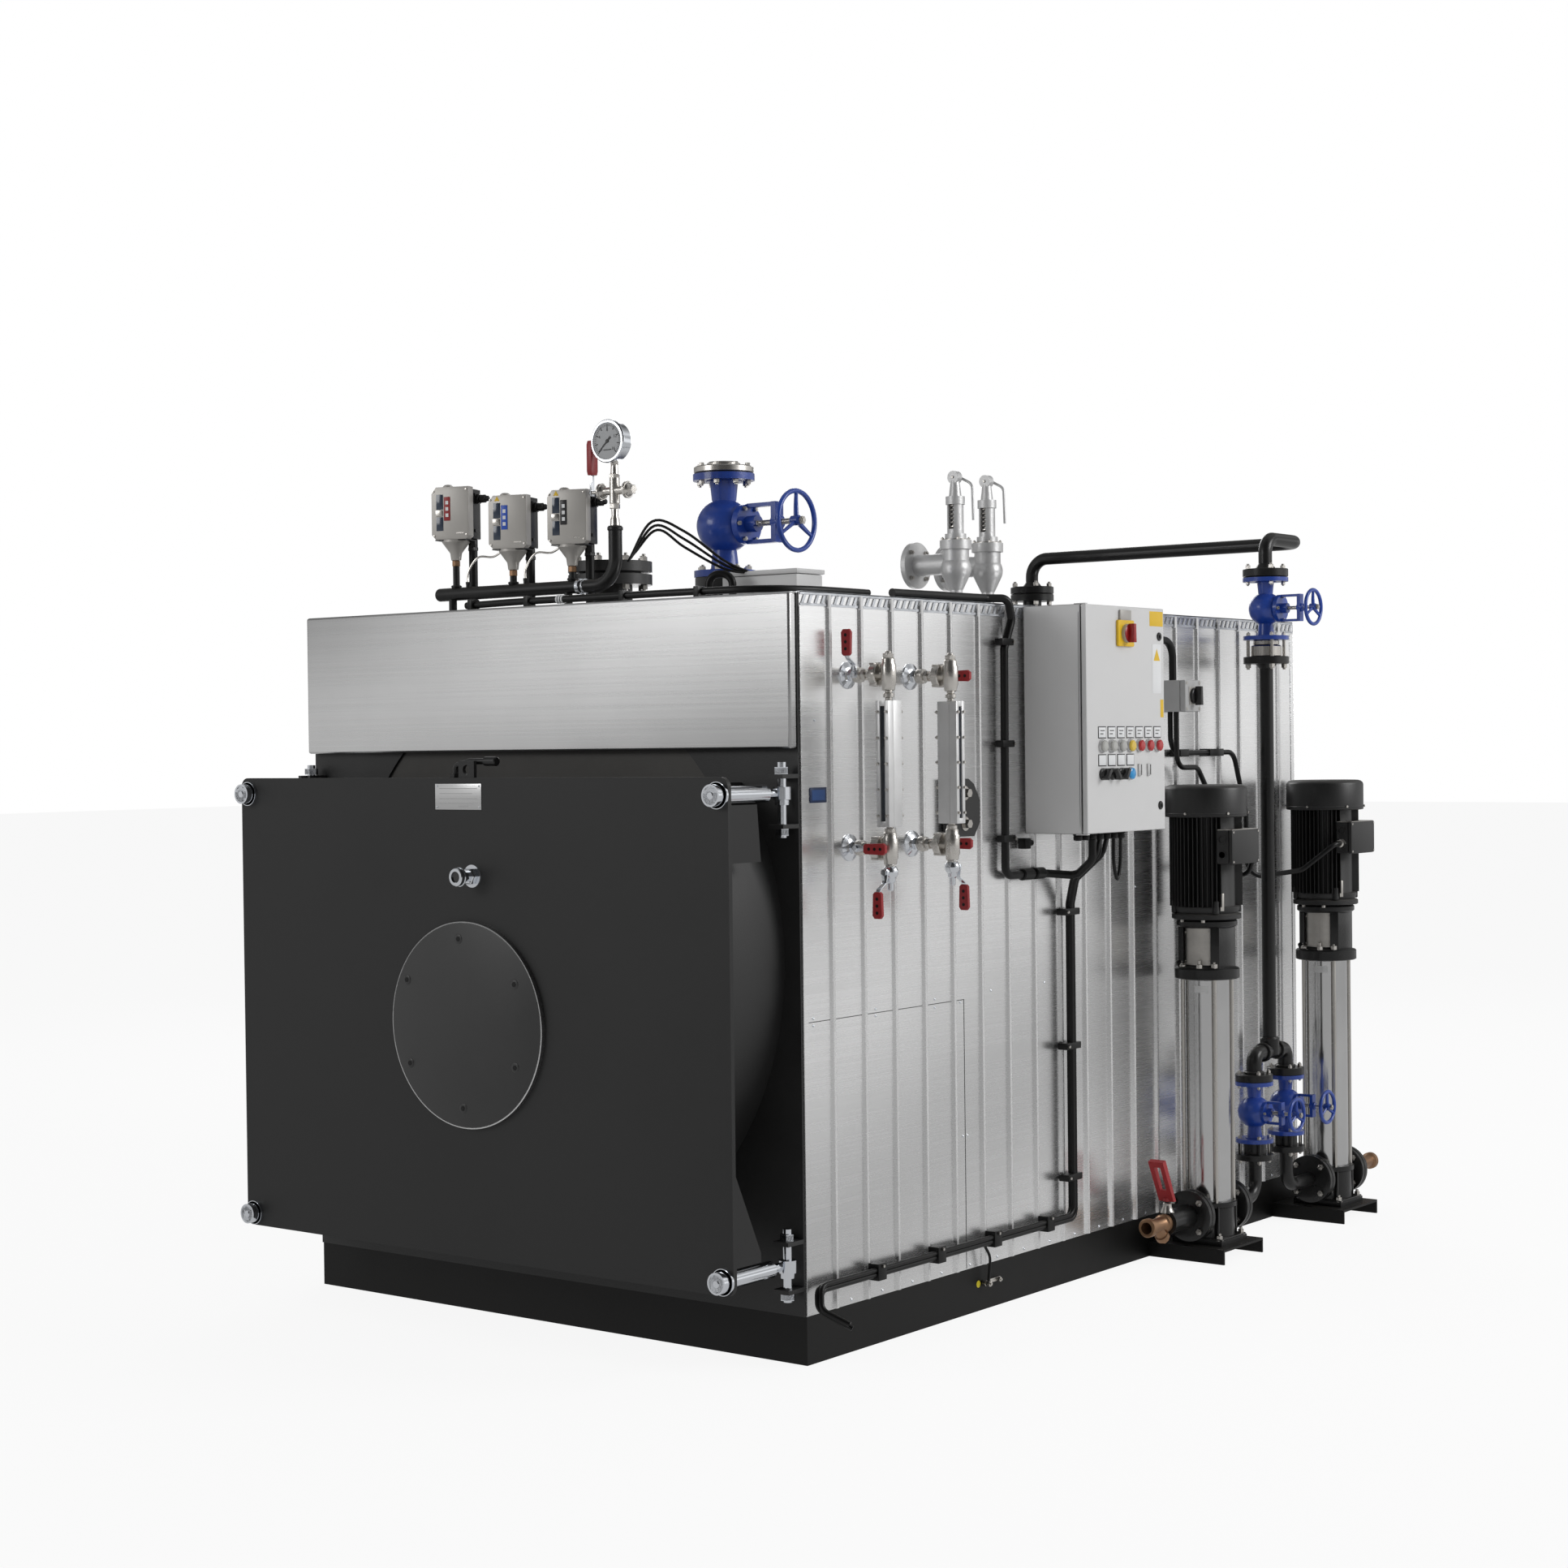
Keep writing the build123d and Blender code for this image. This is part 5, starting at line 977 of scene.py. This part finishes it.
rosettes = Shape()
fittings = Shape()
column_x = 1150
for y, side in gauge_rows:
    for z in (1966, 1466):
        rosettes.lathe((half_width, y, z), "x", [(0, 40), (4, 39), (9, 30), (14, 22), (15, 17)], 44)
        rosettes.nut((1016, y, z), "x", 13, 20)
        fittings.lathe((1028, y, z), "x", [(0, 13), (2, 17), (5, 21), (17, 24), (29, 21), (32, 17), (34, 13)], 32)
        fittings.nut((1060, y, z), "x", 14, 18).rod((1072, y, z), "x", 34, 11, 24)
        fittings.stack("x", (1086, 32, [(0, 15), (3, 19), (10, 19), (12, 26)]),
                       (1098, 40, [(0, 32), (3, 35), (22, 35), (25, 32)]), at=(0, y, z))
        for a, b in circle(33, 6):
            fittings.block((1097, y + a - 5, z + b - 5), (1124, y + a + 5, z + b + 5), 2)
        fittings.rod((1120, y, z), "x", 20, 17, 28).rod((1045, min(y, y + side * 26), z), "y", 26, 11, 20)
        fittings.nut((1045, min(y + side * 12, y + side * 22), z), "y", 10, 14)
        fittings.rod((1045, min(y, y + side * 36), z), "y", 36, 5.8, 16)
        fittings.lathe((column_x, y, z - 48), "z", [(0, 15), (3, 19), (14, 20), (20, 23), (74, 23), (80, 20), (92, 19),
                                                    (96, 14)], 32)
    fittings.nut((column_x, y, 2012), "z", 14, 17).rod((column_x, y, 2024), "z", 9, 9, 20, 3)
    fittings.stack("z", (1886, 28, [(0, 10), (12, 10), (14, 16), (24, 16), (27, 11), (34, 11)]),
                   (1508, 28, [(0, 11), (4, 16), (14, 16), (16, 10), (22, 10)]), at=(column_x, y, 0))
    fittings.nut((column_x, y, 1402), "z", 18, 16)
    rosettes.ball((column_x, y, 1398), 23)
    for length, radius, sides in ((26, 11, 20), (36, 5.8, 16)):
        rosettes.rod((column_x, min(y, y + side * length), 1398), "y", length, radius, sides)
    rosettes.lathe((column_x, y, 1344), "z", [(0, 7), (3, 9.5), (22, 9.5), (26, 14), (40, 15)], 24)
rosettes.done("cock_rosettes", "chrome")
fittings.done("gauge_cast_fittings", "fitting_nickel", stands_for=["gauge_fittings"], bevel=0.6)

columns = Shape()
glass = Shape()
bolts = Shape()
prisms = Shape()
for y, side in gauge_rows:
    spot = turned((column_x, y, 0), 0 if side < 0 else 90)
    for low, high, round_off in (((-22, -8, 1528), (22, 34, 1890), 2), ((-22, -34, 1528), (-8, -8, 1890), 1.5),
                                 ((8, -34, 1528), (22, -8, 1890), 1.5), ((-9, -34, 1528), (9, -8, 1544), 1),
                                 ((-9, -34, 1874), (9, -8, 1890), 1)):
        columns.block(low, high, round_off, spot)
    glass.block((-8, -29, 1544), (8, -10, 1874), 0, spot)
    since = bolts.mark()
    for z in (1560, 1635, 1709, 1783, 1858):
        for x in (-15, 15):
            bolts.bolt((x, 34, z), "y", 6, 4).bolt((x, -34, z), forward, 4.5)
    bolts.move(spot, since)
    for x in (-6.2, -2, 2, 5.4):
        prisms.block((x, -29.6, 1546), (x + 0.8, -29, 1872), 0, spot)
columns.done("level_columns", "column_silver", stands_for=["gauge_columns"])
glass.done("level_glasses", "gauge_glass", stands_for=["gauge_glasses"])
bolts.done("level_column_bolts", coat="stainless")
prisms.done("level_glass_prisms", coat="window_blue")

for name, (y, side), top_way in (("one", gauge_rows[0], (0, 0, 1)), ("two", gauge_rows[1], (1, 0, 0))):
    for place, x, z, way in (("_top", 1049, 1966, top_way), ("_low", 1049, 1466, (1, 0, 0)),
                             ("_drain", column_x, 1398, (0, 0, -1))):
        cock_handle(name + place, (x, y + side * 26, z), (0, side, 0), way)

cover = Shape()
for z in (1612, 1518):
    cover.bolts((1027, back(800), z), "x", 0.1, 1, 15)
for z in (1612, 1518):
    cover.lathe((1026, back(800), z), "x", [(0, 22), (3, 22)], 28)
cover.done("side_cover_bolts", coat="stainless")

# Control cabinet: tray, mounting plate with gear, and the door with its switch, lamps and labels.
# The origin of its shapes is on its near edge, and that of the door's on the door's face.
near_y = back(1163)
width = 490
low_z, high_z = 1475, 2197
door_x = 1244
box = Shape(0, near_y)
for y in (0, width - 2):
    box.block((crest_x, y, low_z), (1221, y + 2, high_z), 0.6)
for z in (low_z, high_z - 2):
    box.block((crest_x, 0, z), (1221, width, z + 2), 0.6)
box.block((crest_x, 0, low_z), (crest_x + 3, width, high_z), 0.4)
for y in (0, width - 24):
    box.block((1216, y, 1500), (1218, y + 24, 2172))
for z in (1477, 2172):
    box.block((1213, 2, z), (1218, width - 2, z + 23), 0.4)
for z in (high_z, low_z - 3):
    box.block((1200, 2, z), (1242, 16, z + 3), 0.4)
box.done("cabinet_box", "cabinet_grey", stands_for=["cabinet"])
slab("mounting_plate", (crest_x + 3, back(1193), 1505), (crest_x + 12, back(1623), 2167), 1, slot="tray_zinc")
gear = Shape(crest_x + 12, near_y)
for row, z in enumerate((1600, 1760, 1920, 2060)):
    gear.block((0, 52, z - 18), (8, 437, z + 18), 1)
    for item in range(7 - row):
        y = 62 + item * 52
        gear.block((8, y, z - 42), (68 + item % 3 * 14, y + 45, z + 42), 2)
gear.done("cabinet_gear", coat="box_grey")
door = Shape(1226, near_y).block((0, 0, 1476), (18, width, 2196))
door.done("cabinet_door_tray", "cabinet_grey", "cabinet_door", ["cabinet_front"], 3)
seal = Shape(1222, near_y)
for y in (6, width - 18):
    seal.block((0, y, 1482), (4, y + 12, 2190), 1)
for z in (1482, 2178):
    seal.block((0, 18, z), (4, width - 18, z + 12), 1)
seal.done("cabinet_seal", None, "cabinet_door", coat="conduit_black")


def turn_knob(x, y, z, profile, grip_x, grip_length, reach):
    """Round knob on +X with a tapered grip across it."""
    grip = [(-9, -reach), (9, -reach), (7, reach), (-7, reach)]
    return Shape(x, y, z).lathe((0, 0, 0), "x", profile, 40).prism(grip, "x", grip_x, grip_length, 3)


switch = (door_x, back(1398), 2110)
outline = [(-50, -38), (-46, -42), (46, -42), (50, -38), (50, 38), (46, 42), (-46, 42), (-50, 38)]
plate = Shape(*switch).prism(outline, "x", 0, 9, 2)
plate.done("main_switch_plate", "switch_yellow", "cabinet_door", ["main_switch"])
hasp = Shape(*switch).block((0, -34, 40), (8, 34, 74), 2).rod((8, 0, 0), "x", 12, 30, 36)
hasp.done("main_switch_hasp", None, "cabinet_door", coat="switch_grey")
knob = turn_knob(1255, *switch[1:], [(0, 27), (2, 29), (10, 28), (12, 24)], 9, 22, 30)
knob.done("main_switch_handle", "knob_red", "main_knob", ["main_switch_knob"])

face = (door_x, near_y)
bezels, legends, blacks = Shape(*face), Shape(*face), Shape(*face)
lenses = {}
upper_z, lower_z = 1751, 1662
for number, colour in enumerate(("clear", "clear", "clear", "yellow", "red", "red", "red")):
    y = 92 + number * 58
    bezels.lathe((0, y, upper_z), "x", [(0, 22), (3, 22), (5, 20), (8, 19.5)], 32)
    lens = lenses.setdefault(colour, Shape(*face))
    lens.lathe((6, y, upper_z), "x", [(0, 18), (7, 18), (10, 14), (11, 0)], 28)
    blacks.block((0, y - 24, 1775), (1, y + 24, 1813), 0.3)
    legends.block((1, y - 21, 1778), (2, y + 21, 1810), 0.3)
    for right, z in ((13, 1798), (5, 1788)):
        blacks.block((2, y - 13, z), (2.3, y + right, z + 3))
for number in range(6):
    y = 92 + number * 58
    if number > 3:
        bezels.block((0, y - 10, 1652), (5, y + 4, 1692), 1)
        blacks.block((5, y + 4, 1656), (6, y + 7, 1690))
        continue
    blacks.block((0, y - 24, 1687), (1, y + 24, 1725), 0.3)
    legends.block((1, y - 21, 1690), (2, y + 21, 1722), 0.3)
    if number == 3:
        lenses["blue"] = Shape(*face).lathe((6, y, lower_z), "x", [(0, 18), (5, 18), (7, 15), (7.5, 0)], 28)
        bezels.lathe((0, y, lower_z), "x", [(0, 21), (4, 21), (6, 20)], 28)
        continue
    blacks.lathe((0, y, lower_z), "x", [(0, 19), (6, 19), (8, 16), (14, 15)], 28)
    blacks.block((0, -6, -19), (24, 6, 19), 2, turned((6, y, lower_z), 35 if number % 2 else -35, "X"))
bezels.done("lamp_bezels", "lamp_mix", "cabinet_door", ["cabinet_lamps"])
legends.done("lamp_legends", None, "cabinet_door", coat="dial_white")
blacks.done("selector_knobs", None, "cabinet_door", coat="knob_black")
for colour, shape in lenses.items():
    shape.done("lamp_lenses_" + colour, None, "cabinet_door", coat="lens_" + colour)

locks = Shape(*face)
for z in (2105, 1555):
    locks.lathe((0, 458, z), "x", [(0, 14), (2, 14), (4, 12), (4.5, 8)], 28).block((4, 455, z - 6), (8, 461, z + 6), 1)
locks.done("cabinet_locks", None, "cabinet_door", coat="knob_black")
notes = Shape(*face).block((0, 398, 2138), (0.6, 484, 2186), 0.2).block((0, 464, 1842), (0.6, 484, 1900), 0.2)
notes.prism([(422, 2026), (462, 2026), (442, 2064)], "x", 0.7, 0.5)
notes.done("cabinet_yellow_labels", None, "cabinet_door", coat="mark_yellow")
paper = Shape(*face).block((0, 414, 1920), (0.6, 470, 2080), 0.2)
paper.done("cabinet_white_label", None, "cabinet_door", coat="dial_white")

gland_row = [(1185, back(1200 + 44 * number), 1453) for number in range(7)]
glands = Shape()
for x, y, z in gland_row:
    glands.nut((x, y, 1469), "z", 6, 17).lathe((x, y, z), "z", [(0, 11), (4, 14), (13, 14), (16, 12)], 24)
glands.block((crest_x, back(1118), 1428), (1043, back(1150), 1462), 3).rod((1030, back(1148), 1446), "y", 24, 10, 18)
glands.done("cabinet_glands", coat="conduit_black")

# Isolator and the junction box on the roof
switch = (crest_x, back(2066), 1918)
box = Shape(*switch)
for near, far, round_off in ((0, 88, 4), (89, 111, 5)):
    box.block((near, -54, -54), (far, 54, 54), round_off)
box.done("isolator_box", "box_grey", stands_for=["terminal_boxes"])
lid = Shape().block((411, back(390), roof_z), (700, back(520), 2284), 4)
lid.block((405, back(384), 2285), (706, back(526), 2300), 4).done("junction_box", coat="cabinet_grey")
trim = Shape(*switch)
for y, z in ((-44, -44), (-44, 44), (44, -44), (44, 44)):
    trim.lathe((111, y, z), "x", [(0, 6), (1.5, 5.5), (2, 0)], 16)
trim.block((111, -31, -31), (113, 31, 31), 1).done("isolator_screws", coat="switch_grey")
knob = turn_knob(1126, *switch[1:], [(0, 27), (2, 28), (9, 27), (11, 24)], 9, 24, 32)
knob.done("isolator_handle_knob", "knob_black", "isolator_handle", ["isolator_knob"])


# Feed pumps, each round its own axis
def ribbon(outer, inner, degrees):
    """Outline of a thin sheet bent round the axis."""
    return [polar(outer, turn) for turn in degrees] + [polar(inner, turn) for turn in reversed(degrees)]


for tag, y, suction, reach in (("front", back(2080), -1, 170), ("rear", back(2990), 1, 110)):
    axis = (pump_x, y)
    first = tag == "front"
    motor = Shape(*axis).stack(
        "z", (1156, 72, [(0, 115), (2, 118), (15, 118), (18, 114), (22, 100), (30, 97), (352, 97)]),
        (1176, 72, [(0, 106), (12, 112), (22, 112), (24, 108)]),
        (1504, 72, [(0, 132), (1, 138), (3, 140), (94, 140), (101, 137), (106, 131), (109, 122), (109, 0)]),
        (1512, 72, [(0, 140), (1.5, 141.2), (5, 141.2), (6.5, 140)]))
    for fin in range(5, 44):
        motor.block((95, -1.3, 1200), (124, 1.3, 1506), 0, turned((0, 0, 0), fin * 7.5))
    for degrees in quarters:
        motor.rod((*polar(112, degrees), 1176), "z", 44, 11, 16, 3)
    motor.done(tag + "_motor", "motor_black", stands_for=["pump_motors"] if first else [])
    grille = Shape(*axis)
    for radius in range(24, 118, 12):
        grille.ring((0, 0, 1611), "z", 1.6, radius + 3, radius, 56, 0.3)
    grille.done(tag + "_motor_grille", coat="conduit_black")
    box = Shape(*axis).block((90, -96, 1346), (138, 96, 1462), 9).block((138, -97, 1345), (153, 97, 1463), 8)
    box.block((84, -60, 1366), (96, 60, 1442), 2)
    for z in (1378, 1430):
        box.ring((114, -99, z), "y", 5, 15, 11, 28, 1).rod((114, -97.5, z), "y", 3, 10, 24, 0.6)
    box.done(tag + "_terminal_box", coat="motor_black")
    bright = Shape(*axis)
    for degrees in range(-150, 210, 60):
        bright.bolt((*polar(139, degrees), 1517), (*polar(1, degrees), 0), 5)
    for a, z in ((-88, 1354), (-88, 1454), (88, 1354), (88, 1454)):
        bright.lathe((152.6, a, z), "x", [(0, 4), (1.4, 3.6), (1.8, 0)], 14)
    for degrees in (-35, 145):
        bright.block((110, -7, 1186), (119, 7, 1246), 2, turned((0, 0, 0), degrees))
    for degrees in (-68, -112, 68, 112):
        bright.bolt((*polar(106, degrees), 1156), (0, 0, -1), 7)
    bright.block((92, -90, 1461), (150, 90, 1463.4), 0.6).done(tag + "_motor_screws", coat="stainless")

    head = Shape(*axis).stack("z", (951, 72, [(0, 104), (3, 110), (34, 110), (38, 106), (44, 82), (52, 76)]),
                              (1126, 72, [(0, 92), (4, 100), (8, 104), (22, 104), (26, 100), (30, 96)]))
    post = ((52, -70), (78, -58), (86, -20), (86, 20), (78, 58), (52, 70), (60, 46), (66, 16), (66, -16), (60, -46))
    for side in (-1, 1):
        head.prism([(side * a, b) for a, b in post], "z", 985, 145, 1.5)
    head.rod((-70, -52, 990), (0, -0.6, 0.8), 24, 11, 20, 2)
    head.done(tag + "_pump_head", "cast_black", stands_for=["pump_heads"] if first else [])
    coupling = Shape(*axis).rod((0, 0, 995), "z", 140, 17, 32)
    coupling.lathe((0, 0, 1024), "z", [(0, 30), (2, 33), (76, 33), (78, 30)], 32)
    for x, z in ((-14, 1036), (14, 1036), (-14, 1070), (14, 1070)):
        coupling.bolt((x, -32, z), forward, 7)
    coupling.done(tag + "_coupling", coat="stainless")
    guard = Shape(*axis)
    for middle in (-90, 90):
        guard.prism(ribbon(79, 77.4, [middle + turn for turn in (-46, -30, -15, 0, 15, 30, 46)]), "z", 1000, 126)
        for z in (1012, 1112):
            for degrees in (middle - 34, middle + 34):
                guard.bolt((*polar(79, degrees), z), (*polar(1, degrees), 0), 3.6)
    guard.done(tag + "_coupling_guard", coat="guard_steel")
    nuts = Shape(*axis)
    for degrees in quarters:
        spot = polar(86, degrees)
        nuts.rod((*spot, 190), "z", 765, 7, 20).bolt((*spot, 990), "z", 12, 6)
        nuts.ring((*spot, 988.5), "z", 2, 15, 8, 20, 0.4)
    nuts.nut((20, -92, 990), "z", 14, 11).rod((20, -92, 1004), "z", 14, 6, 16).rod((-44, -84, 992), "z", 10, 9, 16, 2)
    nuts.lathe((0, -93, 150), forward, [(0, 0), (0, 10), (8, 10), (10, 7)], 6)
    for x in (-40, 40):
        nuts.nut((x, -84, 116), forward, 8, 8)
    for flange in (-135, 135):
        for degrees in quarters:
            x, z = polar(68, degrees, 0, port_z)
            nuts.rod((x, flange - 34, z), "y", 68, 6, 16)
            nuts.nut((x, flange - 31, z), "y", 10, 11).nut((x, flange + 21, z), "y", 10, 11)
    for a, b in ((-80, -76), (-80, 76), (80, -76), (80, 76)):
        nuts.ring((a, b, 68), "z", 2, 14, 8, 20, 0.4).bolt((a, b, 70), "z", 11, 8)
    nuts.done(tag + "_pump_nuts", coat="stainless")
    sleeve = Shape(*axis).lathe((0, 0, 190), "z", [(0, 78), (6, 78), (8, 76), (757, 76), (759, 78), (763, 78)], 96)
    sleeve.done(tag + "_pump_sleeve", "sleeve_steel", stands_for=["pump_sleeves"] if first else [])
    plate = Shape(*axis).prism(ribbon(76.8, 76, (-96, -87, -78, -69, -60)), "z", 906, 24)
    plate.done(tag + "_pump_blank_plate", coat="column_silver")
    cast = Shape(*axis)
    for side in (-1, 1):
        cast.lathe((0, side * 96, port_z), (0, side, 0), [
            (0, 46), (14, 50), (17, 80), (19, 86), (35, 86), (37, 84), (39, 84), (41, 86), (57, 86), (59, 80),
            (60, 62)], 56)
    for x, leg in ((-66, -62), (-66, 62), (66, -62), (66, 62)):
        cast.block((x - 5, leg - 5, 66), (x + 5, leg + 5, 180), 2)
    cast.block((-93, -88, 66), (93, 88, 74), 3)
    for near in (-88, 60):
        cast.block((-60, near, 72), (60, near + 28, 172), 6)
    cast.lathe((0, 0, 172), "z", [(0, 90), (3, 95), (18, 95), (20, 92)], 64)
    way = (0, suction, 0)
    pipe = [(0, 62), (2, 64), (3, 40), (reach - 34, 38), (reach - 30, 42), (reach - 21, 42)]
    cast.lathe((0, suction * 155, port_z), way, pipe, 44).done(tag + "_pump_casting", coat="cast_black")
    strainer = Shape(pump_x, y + suction * (135 + reach), port_z).lathe((0, 0, 0), way, [
        (0, 17), (0, 29), (3, 31), (21, 31), (24, 27), (30, 24), (96, 24), (101, 28), (104, 31), (122, 31), (125, 28),
        (125, 20), (40, 17)], 32)
    foot = Vector((0, suction * 62, 0))
    leg = Vector((0, suction * -0.7071, -0.7071))
    strainer.lathe(foot, leg, [(0, 18), (46, 20), (48, 24), (66, 24), (67, 20), (74, 12), (78, 0)], 28)
    strainer.nut(foot + leg * 66, leg, 14, 17)
    strainer.done(tag + "_strainer", "brass", stands_for=["strainers"] if first else [])

stem = Shape(pump_x, back(1790)).lathe((0, 0, 188), "z", [(0, 24), (10, 20), (20, 15), (30, 15), (33, 13)], 28)
stem.nut((0, 0, 239), "z", 8, 12).done("suction_valve_stem", coat="stainless")
Shape().rod((pump_x, back(2868), port_z + 36), "z", 22, 8, 16).done("rear_port_plug", coat="brass")

# Safety valve springs and their bright trim
springs = Shape()
trim = Shape()
for y in safety_rows:
    springs.sweep([(*polar(21, turn * 360 / 14, 0, y), 2550 + turn * 1.12) for turn in range(99)], 4.2, 8)
    trim.ring((0, y, 2525), "z", 5, 52, 20, 40, 1).nut((0, y, 2690), "z", 14, 20)
    trim.ring((-193, y, 2440), "x", 3, 86, 32, 48, 1).rod((0, y - 20, 2762), "y", 40, 5, 16)
springs.done("safety_springs", coat="stainless")
trim.done("safety_trim", coat="stainless")


# Cables and conduits with their clamps
def route(*rows):
    """Points of a cable: each row is x, the depth from the front wall and z."""
    return [(x, back(depth), z) for x, depth, z in rows]


runs = Shape().sweep(rounded(route(
    (988, 480, 2216), (988, 985, 2218), (1032, 1048, 2218), (1032, 1066, 2150), (1028, 1028, 2060), (1028, 1022, 1348),
    (1028, 1255, 1345), (1100, 1330, 1336), (1185, 1288, 1390)) + [gland_row[2]], 30), 13, 16)
runs.sweep(rounded(route((1045, 1653, 2110), (1045, 2066, 2110), (1045, 2066, 1972)), 60), 13, 16)
for low, high in ((1112, 1172), (1186, 1240)):
    runs.rod((1029, back(low), 1347), "y", high - low, 19, 24, 4)
runs.done("edge_conduits", "conduit_black", stands_for=["conduits"])
bundle = Shape()
for (dx, dy, dz), first in (((-7, 0, 0), 3), ((6, 7, -7), 4), ((7, -6, 7), 3)):
    bundle.sweep(rounded([gland_row[first]] + route(
        (1185, 1332 + dy * 3, 1405), (1060 + dx, 1380 + dy, 1320), (1032 + dx, 1397 + dy, 1240),
        (1032 + dx, 1397 + dy, 222 + dz), (1032 + dx, 22, 222 + dz), (1045 + dx, 6, 165),
        (1125 + dx, 38 + dy, 122 + dz)), 32), 8, 14)
spare = [gland_row[5]] + route((1185, 1421, 1370), (1184, 1442, 1322), (1183, 1463, 1370)) + [gland_row[6]]
bundle.sweep(smooth_line(spare), 6, 12)
earth_lead = route((1030, 880, 205), (1034, 900, 170), (1030, 905, 130), (1026, 905, 92))
bundle.sweep(smooth_line(earth_lead, 6), 4.5, 12).done("cable_bundle", coat="conduit_black")
wires = Shape()
for bend, rows in ((60, ((1045, 2046, 1864), (1045, 2046, 1722), (1045, 2500, 1722), (1045, 2590, 1500),
                         (1045, 2600, 1265), (1180, 2760, 1290), (1274, 2838, 1384), (1274, 2880, 1384))),
                   (50, ((1069, 2046, 1864), (1069, 2046, 1672), (1069, 2190, 1672), (1069, 2262, 1590),
                         (1069, 2262, 1330), (1220, 2262, 1290), (1274, 2228, 1388), (1274, 2190, 1388)))):
    wires.sweep(rounded(route(*rows), bend, 12), 9, 14)
wires.done("motor_cables", coat="conduit_black")
glands = Shape()
for depth, side, z in ((2894, -1, 1384), (2176, 1, 1388)):
    glands.lathe((1274, back(depth), z), (0, side, 0), [(-4, 15), (0, 15), (2, 12), (8, 15), (18, 15), (22, 11)], 24)
glands.done("motor_cable_glands", coat="fitting_nickel")
holders = Shape()
screws = Shape()
for near, far, outer, screw, levels in ((996, 1062, 1043, 1056, (2081, 1762, 1464)),
                                        (1344, 1430, 1051, 1352, (1215, 779, 352))):
    for z in levels:
        holders.block((crest_x, back(near), z - 11), (outer, back(far), z + 11), 3)
        screws.bolt((outer, back(screw), z), "x", 5)
for rib in (1, 3, 5, 7):
    y = rib_y(rib)
    holders.block((crest_x, y - 6, 198), (1051, y + 36, 248), 3)
    screws.bolt((1051, y + 15, 240), "x", 5)
for near, far in ((2096, 2156), (2307, 2407)):
    holders.block((crest_x, back(near), 1709), (1057, back(far), 1735), 2)
holders.done("conduit_clamps", coat="conduit_black")
screws.done("conduit_clamp_screws", coat="stainless")
